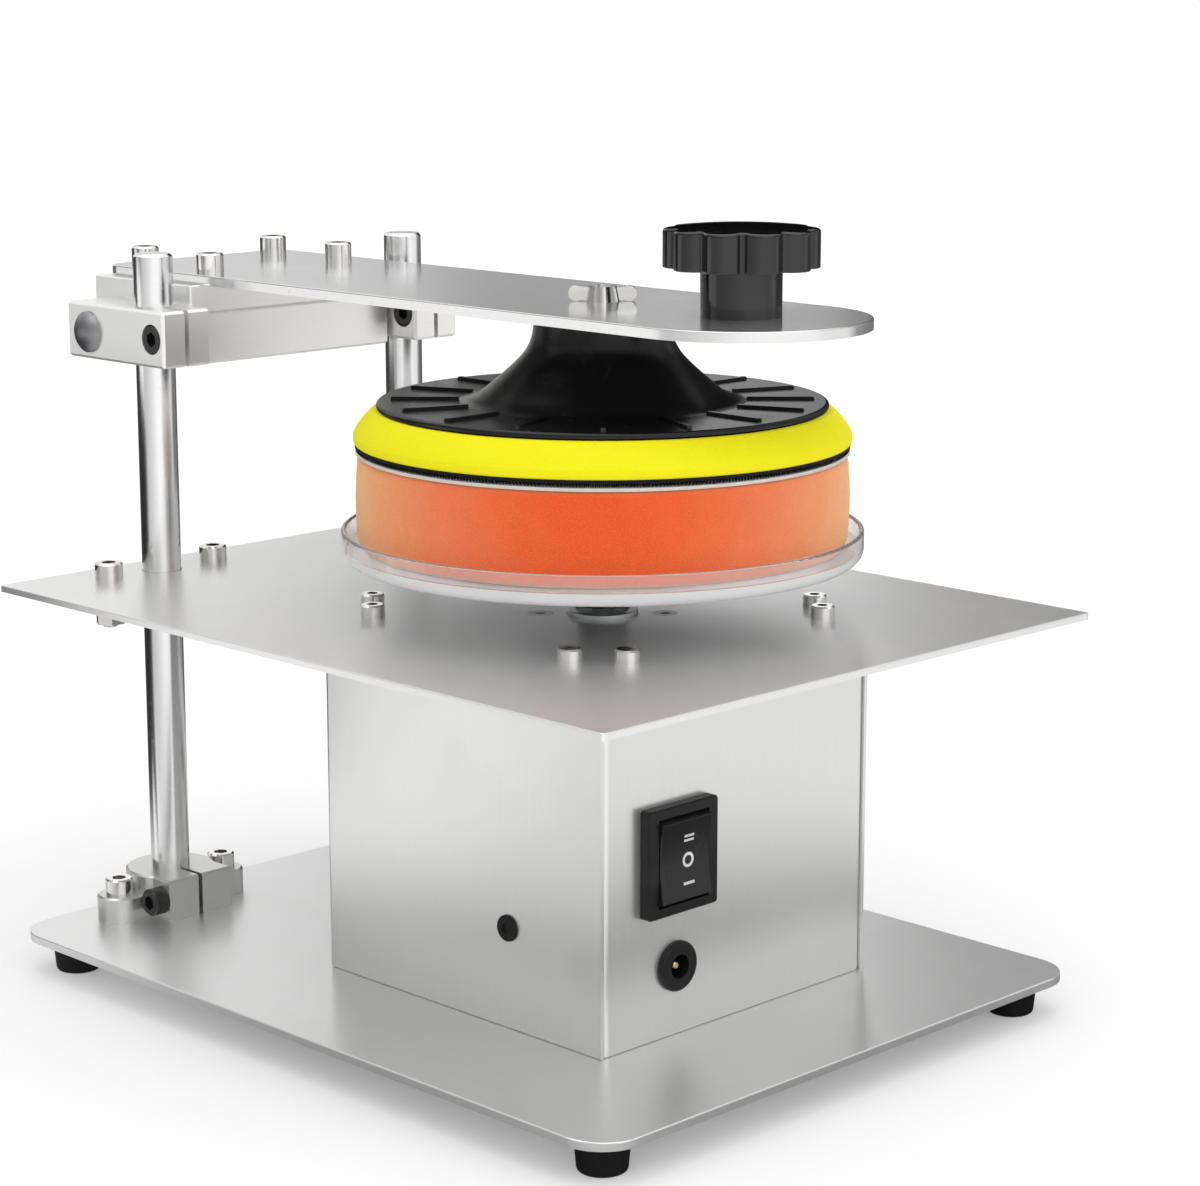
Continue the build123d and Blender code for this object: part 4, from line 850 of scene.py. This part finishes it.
def loop_points(root, direction, sideways, lean):
    """A loose fibre that leaves the edge, rises and curls back."""
    start = root + Vector((0.0, 0.0, loop_low.z + 0.45 * mm))
    rise = 0.35 * mm * abs(lean)
    side = sideways * lean
    return [
        start,
        start + direction * 0.28 * mm + side * 0.3 * mm + Vector((0.0, 0.0, rise)),
        start + direction * 0.38 * mm + side * 0.7 * mm + Vector((0.0, 0.0, rise * 0.2)),
        start + direction * 0.12 * mm + side * 1.0 * mm - Vector((0.0, 0.0, rise * 0.4)),
    ]


loop_sheet = turned_foam(
    "loop_sheet",
    flat_disc_profile(loop_radius - 0.1 * mm, loop_low.z, loop_high.z, 0.3 * mm),
    spindle,
    320,
    tape_wobble,
)
loop_rows = [loop_radius - 0.4 * mm, loop_radius - 0.3 * mm]
fringe(loop_sheet, loop_rows, fibres_per_row, loop_points, 0.07 * mm)
dress(loop_sheet, loop_white, "pad_arm")
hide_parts("loop_layer")
print("loop backing:", len(loop_rows) * fibres_per_row, "fibres")

# %% [markdown]
# ## The marks on the rocker
# Three white marks are printed on the rocker: a pair of bars at the top, a ring in the middle
# and a single bar at the bottom. They could be painted with a mask in the rocker's material,
# but an export to a texture would soften them. They are thin pieces of ink instead, laid on
# the rocker's hollow face and moving with it.

# %% Lay ink on the rocker
rocker_low, rocker_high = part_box("rocker")
rocker_centre = (rocker_low + rocker_high) / 2
rocker_lift = 0.03 * mm
ink_thick = 0.04 * mm
rocker_face_dip = 1.2 * mm
rocker_pivot_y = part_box("front_panel")[0].y
rocker_stand = rocker_pivot_y - rocker_low.y
rocker_face_reach = sqrt((rocker_high.z - rocker_centre.z) ** 2 - rocker_stand**2)
print("rocker stands", round(1000 * rocker_stand, 2), "mm in front of the panel")


def rocker_face_y(z):
    """The front of the rocker at a height above its middle: a shallow hollow."""
    radius = (rocker_face_reach**2 + rocker_face_dip**2) / (2 * rocker_face_dip)
    sag = radius - sqrt(max(radius**2 - z**2, 0.0))
    return rocker_low.y + rocker_face_dip - sag


def ink_patch(mesh, outline_pairs, closed):
    """A strip of ink between an inner and an outer line of (x, z) points on the face."""
    rows = []
    for pair in outline_pairs:
        corners = []
        for lift in (rocker_lift, rocker_lift + ink_thick):
            for x, z in pair:
                y = rocker_face_y(z) - lift
                corners.append(mesh.verts.new((rocker_centre.x + x, y, rocker_centre.z + z)))
        rows.append(corners)
    count = len(rows)
    for number in range(count if closed else count - 1):
        a, b = rows[number], rows[(number + 1) % count]
        for one, two in ((0, 1), (1, 3), (3, 2), (2, 0)):
            mesh.faces.new((a[one], b[one], b[two], a[two]))
    if not closed:
        for end in (rows[0], rows[-1]):
            mesh.faces.new((end[0], end[1], end[3], end[2]))


def bar_rows(middle_x, middle_z, length, height, steps=6):
    """The two long edges of a bar, in pairs of points from left to right."""
    rows = []
    for step in range(steps + 1):
        x = middle_x + length * (step / steps - 0.5)
        rows.append([(x, middle_z - height / 2), (x, middle_z + height / 2)])
    return rows


def ring_rows(middle_x, middle_z, wide, high, stroke, steps=48):
    """The inner and the outer line of a ring, in pairs of points around it."""
    rows = []
    for step in range(steps):
        turn = 2 * pi * step / steps
        inner = (middle_x + (wide - stroke) * cos(turn), middle_z + (high - stroke) * sin(turn))
        outer = (middle_x + wide * cos(turn), middle_z + high * sin(turn))
        rows.append([inner, outer])
    return rows


mark_x = 1.2 * mm
bars = [
    (6.5 * mm, 3.8 * mm, 0.7 * mm),
    (5.2 * mm, 3.8 * mm, 0.7 * mm),
    (-7.0 * mm, 4.3 * mm, 0.8 * mm),
]
ink_mesh = bmesh.new()
for bar_z, bar_length, bar_height in bars:
    ink_patch(ink_mesh, bar_rows(mark_x, bar_z, bar_length, bar_height), closed=False)
ink_patch(ink_mesh, ring_rows(mark_x, -0.5 * mm, 2.2 * mm, 2.15 * mm, 0.85 * mm), closed=True)
bmesh.ops.recalc_face_normals(ink_mesh, faces=ink_mesh.faces)
switch_marks = piece_from(ink_mesh, "switch_marks")
scene.collection.objects.link(switch_marks)
white_ink = moulding("white_ink", grey(0.62), 0.45, 2500.0, 0.005)
dress(switch_marks, white_ink, "switch_rocker")
print("marks:", len(switch_marks.data.polygons), "faces")

# %% [markdown]
# ## The studio
# The photograph was taken against pure white, with broad soft lamps. The floor here is a wide
# white disc that runs out to the horizon and keeps the machine's shadow. The white that the
# camera sees comes from the floor's and the sky's own colour, so the lamps can stay at a level
# that shows every colour about as it was written.


# %% Floor and sky
def white_to_the_eye(tree):
    """1 for rays from the camera, from a mirror or through glass, and 0 for scattered light."""
    path = add_node(tree, "ShaderNodeLightPath")
    total = add_node(
        tree,
        "ShaderNodeMath",
        {0: path.outputs["Is Camera Ray"], 1: path.outputs["Is Glossy Ray"]},
        operation="ADD",
    )
    return add_node(
        tree,
        "ShaderNodeMath",
        {0: total.outputs[0], 1: path.outputs["Is Transmission Ray"]},
        operation="ADD",
        use_clamp=True,
    ).outputs[0]


floor_white, tree, shader = new_material("floor_white", Metallic=0.0, Roughness=0.9)
shader.inputs["Specular IOR Level"].default_value = 0.0
shader.inputs["Emission Strength"].default_value = 1.0
speckle = use_group(tree, "moulded skin", Grains_per_metre=60.0).outputs["Height"]
tree.links.new(blend_colours(tree, speckle, grey(0.79), grey(0.81)), shader.inputs["Base Color"])
floor_glow = 0.26
glow = blend_colours(tree, white_to_the_eye(tree), grey(0.0), grey(floor_glow))
tree.links.new(glow, shader.inputs["Emission Color"])

floor_radius = 60.0
floor_mesh = bmesh.new()
bmesh.ops.create_circle(floor_mesh, cap_ends=True, segments=96, radius=floor_radius)
floor = piece_from(floor_mesh, "studio_floor")
floor.data.materials.append(floor_white)
scene.collection.objects.link(floor)

sky = bpy.data.worlds.new("studio_sky")
sky.use_nodes = True
scene.world = sky
sky_level = 0.58
background = sky.node_tree.nodes["Background"]
sky_colour = blend_colours(sky.node_tree, white_to_the_eye(sky.node_tree), grey(sky_level), grey(1.0))
sky.node_tree.links.new(sky_colour, background.inputs["Color"])
print("sky level", sky_level, "floor glow", floor_glow)


# %% [markdown]
# ### The lamps
# Three broad lamps light the machine: one at the left front for the shape, a weaker one at the
# right front to open the shadows, and one overhead for the tops. Area lamps would light the
# near floor more than the far floor. Sun lamps with a wide angle are as soft, and they keep the
# floor even all the way to the horizon. The wider a lamp is, the fainter a plate mirrors it, so
# the strong one is the widest. Their strength is worked out from how bright a white card would
# look under each of them, which is easier to judge than watts.


# %% Place the lamps
def broad_lamp(name, direction, width, level):
    """A lamp far away in that direction, as many degrees wide. Level is what it adds to a white card."""
    data = bpy.data.lights.new(name, "SUN")
    data.angle = radians(width)
    data.energy = level * pi
    lamp = bpy.data.objects.new(name, data)
    lamp.location = Vector(direction).normalized() * 3.0
    lamp.rotation_euler = Vector(direction).to_track_quat("Z", "Y").to_euler()
    scene.collection.objects.link(lamp)
    return lamp


broad_lamp("key_lamp", (-1.3, -1.0, 1.3), 90.0, 0.34)
broad_lamp("fill_lamp", (0.9, -1.5, 0.8), 70.0, 0.20)
broad_lamp("top_lamp", (0.2, 0.3, 2.0), 60.0, 0.14)


# %% [markdown]
# ### The tent
# Sheet metal in a plain white room looks like white paper. A photographer hangs grey and white
# cloths around the set, and the metal mirrors them as soft bands. Here a round wall stands four
# metres away and a round mat lies on the floor, and only reflections can see them. A plate
# mirrors the wall at its own compass angle, so the wall is painted by angle: each pair below
# is an angle in degrees from +X towards +Y, and how bright the cloth is there. The deck and the
# base plate mirror the upper part of the wall and the arm mirrors the lower part, so there are
# two lists. A level above 1 is a lit panel.

# %% Helpers for painting by angle
def level_ramp(tree, value, stops):
    """Look the value, from 0 to 1, up in a list of (place, level)."""
    ramp = add_node(tree, "ShaderNodeValToRGB", {"Fac": value})
    elements = ramp.color_ramp.elements
    for element, (place, level) in zip(elements, (stops[0], stops[-1])):
        element.position = place
        element.color = grey(level)
    for place, level in stops[1:-1]:
        elements.new(place).color = grey(level)
    return ramp.outputs["Color"]


def compass_turn(tree, place):
    """The angle around the machine, from +X towards +Y, as a share of a whole turn."""
    apart = add_node(tree, "ShaderNodeSeparateXYZ", {"Vector": place})
    turn = add_node(
        tree, "ShaderNodeMath", {0: apart.outputs["Y"], 1: apart.outputs["X"]}, operation="ARCTAN2"
    )
    whole = add_node(
        tree, "ShaderNodeMath", {0: turn.outputs[0], 1: 1 / (2 * pi)}, operation="MULTIPLY"
    )
    return add_node(
        tree, "ShaderNodeMath", {0: whole.outputs[0], 1: 1.0, 2: 0.0}, operation="WRAP"
    ).outputs[0]


def by_angle(tree, turn, bands):
    """Brightness from pairs of an angle in degrees and a level."""
    return level_ramp(tree, turn, [(angle / 360, level) for angle, level in bands])


def step_between(tree, value, start, end, low=0.0, high=1.0):
    """Low before the start, high after the end, and a smooth step between them."""
    return add_node(
        tree,
        "ShaderNodeMapRange",
        {"Value": value, "From Min": start, "From Max": end, "To Min": low, "To Max": high},
        interpolation_type="SMOOTHSTEP",
    ).outputs["Result"]


def reflection_only(piece):
    """Leave a stage piece to mirrors and gloss alone."""
    piece.visible_camera = False
    piece.visible_diffuse = False
    piece.visible_transmission = False
    piece.visible_shadow = False
    scene.collection.objects.link(piece)


def cloth(name):
    """A material that glows by itself and takes no light, and the place to paint it by."""
    made, tree, shader = new_material(name, Roughness=1.0)
    shader.inputs["Base Color"].default_value = grey(0.0)
    shader.inputs["Specular IOR Level"].default_value = 0.0
    shader.inputs["Emission Strength"].default_value = 1.0
    place = add_node(tree, "ShaderNodeTexCoord").outputs["Object"]
    return made, tree, shader, place


# %% Hang the tent
tent_radius = 4.0
tent_height = 3.2
tent_gap = 0.01
changeover = (0.77, 0.88)
high_bands = [
    (0, 0.30), (12, 0.05), (34, 0.0), (38, 0.0), (39.4, 1.4), (43.6, 1.4), (45.4, 0.0),
    (47.8, 0.0), (49.6, 1.05), (54, 1.0), (80, 1.0), (100, 0.75), (118, 0.25), (152, 0.25),
    (168, 0.50), (200, 0.30), (222, 0.50), (240, 1.0), (284, 1.0), (300, 0.30), (330, 0.30),
    (348, 0.60), (360, 0.55),
]
low_bands = [
    (0, 0.15), (20, 0.08), (38, 0.03), (42, 0.04), (44, 0.16), (45.5, 0.36), (47, 0.44),
    (50, 0.48), (55, 0.60), (62, 0.30), (80, 0.05), (126, 0.05), (132, 0.90), (145, 0.80),
    (160, 0.40), (200, 0.60), (226, 0.85), (244, 1.0), (285, 1.0), (325, 0.90), (340, 0.20),
    (360, 0.15),
]
tent_grey, tree, shader, place = cloth("tent_grey")
turn = compass_turn(tree, place)
height = add_node(tree, "ShaderNodeSeparateXYZ", {"Vector": place}).outputs["Z"]
above = step_between(tree, height, *changeover)
painted = blend_colours(tree, above, by_angle(tree, turn, low_bands), by_angle(tree, turn, high_bands))
tree.links.new(painted, shader.inputs["Emission Color"])

tent_mesh = bmesh.new()
bmesh.ops.create_cone(
    tent_mesh, segments=180, radius1=tent_radius, radius2=tent_radius, depth=tent_height
)
bmesh.ops.translate(tent_mesh, verts=tent_mesh.verts, vec=(0, 0, tent_height / 2 + tent_gap))
tent = piece_from(tent_mesh, "tent_wall")
tent.data.materials.append(tent_grey)
reflection_only(tent)
print("tent:", len(high_bands), "bands above,", len(low_bands), "bands below")

# %% [markdown]
# The walls of the housing mirror the floor in front of them, and the photograph shows them
# darker towards the bottom. So the mat is nearly black beside the machine and white a little
# further out. The posts mirror the floor as well, all the way to the tent, so the mat is almost
# as wide as the tent. Beyond the housing's mirror image it is painted by angle, which gives the
# posts their stripes.

# %% Lay the mat
mat_radius = 3.8
mat_lift = 0.0006
mat_middle = (0.03, -0.026, mat_lift)
shade_edge = (0.12, 0.31)
shade_levels = (0.02, 1.12)
wedge_edge = (0.20, 0.36)
mat_wedges = [
    (0, 0.12), (30, 0.08), (119, 0.03), (124, 1.0), (147, 1.0), (153, 0.55), (176, 0.62), (203, 0.80),
    (226, 1.0), (246, 1.0), (285, 0.95), (298, 0.80), (325, 0.80), (338, 0.20), (360, 0.12),
]
mat_grey, tree, shader, place = cloth("mat_grey")
away = add_node(tree, "ShaderNodeVectorMath", {0: place, 1: mat_middle}, operation="DISTANCE")
distance = away.outputs["Value"]
near_shade = step_between(tree, distance, *shade_edge, *shade_levels)
wedges = by_angle(tree, compass_turn(tree, place), mat_wedges)
far_shade = blend_colours(tree, step_between(tree, distance, *wedge_edge), grey(1.0), wedges)
shaded = add_node(tree, "ShaderNodeMath", {0: near_shade, 1: far_shade}, operation="MULTIPLY")
tree.links.new(shaded.outputs[0], shader.inputs["Emission Color"])

mat_mesh = bmesh.new()
bmesh.ops.create_circle(mat_mesh, cap_ends=True, segments=96, radius=mat_radius)
bmesh.ops.translate(mat_mesh, verts=mat_mesh.verts, vec=(0, 0, mat_lift))
mat = piece_from(mat_mesh, "floor_mat")
mat.data.materials.append(mat_grey)
reflection_only(mat)
print("mat radius", mat_radius, "m")

# %% [markdown]
# The posts are round, so each of them mirrors nearly the whole room in a few millimetres. Their
# dark left edge needs something dark quite near, and a folded black card does that. It has a
# gap at the height that the clamp blocks look through, and its near end fades to grey. A second
# card behind the knob keeps the low dome on its top black.

# %% Card helper
def stand_card(name, made, line, bands):
    """Panels that follow a line of (x, y) points, in bands from one height to another."""
    mesh = bmesh.new()
    for foot, top in bands:
        edges = [[mesh.verts.new((x, y, z)) for z in (foot, top)] for x, y in line]
        for before, after in zip(edges, edges[1:]):
            mesh.faces.new((before[0], after[0], after[1], before[1]))
    piece = piece_from(mesh, name)
    piece.data.materials.append(made)
    reflection_only(piece)


# %% Stand the cards
fade_from, fade_to = 0.20, 0.14
card_fading, tree, shader, place = cloth("card_fading")
depth = add_node(tree, "ShaderNodeSeparateXYZ", {"Vector": place}).outputs["Y"]
fade = add_node(
    tree,
    "ShaderNodeMapRange",
    {"Value": depth, "From Min": fade_from, "From Max": fade_to, "To Min": 0.02, "To Max": 0.30},
)
tree.links.new(fade.outputs["Result"], shader.inputs["Emission Color"])
post_line = [(-0.085, 0.31), (-0.16, 0.29), (-0.203, 0.242), (-0.175, 0.18), (-0.14, 0.14)]
post_bands = [(0.002, 0.152), (0.2, 0.225)]
stand_card("post_card", card_fading, post_line, post_bands)

card_black, tree, shader, place = cloth("card_black")
shader.inputs["Emission Color"].default_value = grey(0.0)
knob_line = [(0.093, -0.062), (0.026, 0.005)]
knob_band = (0.238, 0.31)
stand_card("knob_card", card_black, knob_line, [knob_band])
print("cards: one for the posts, one for the knob")
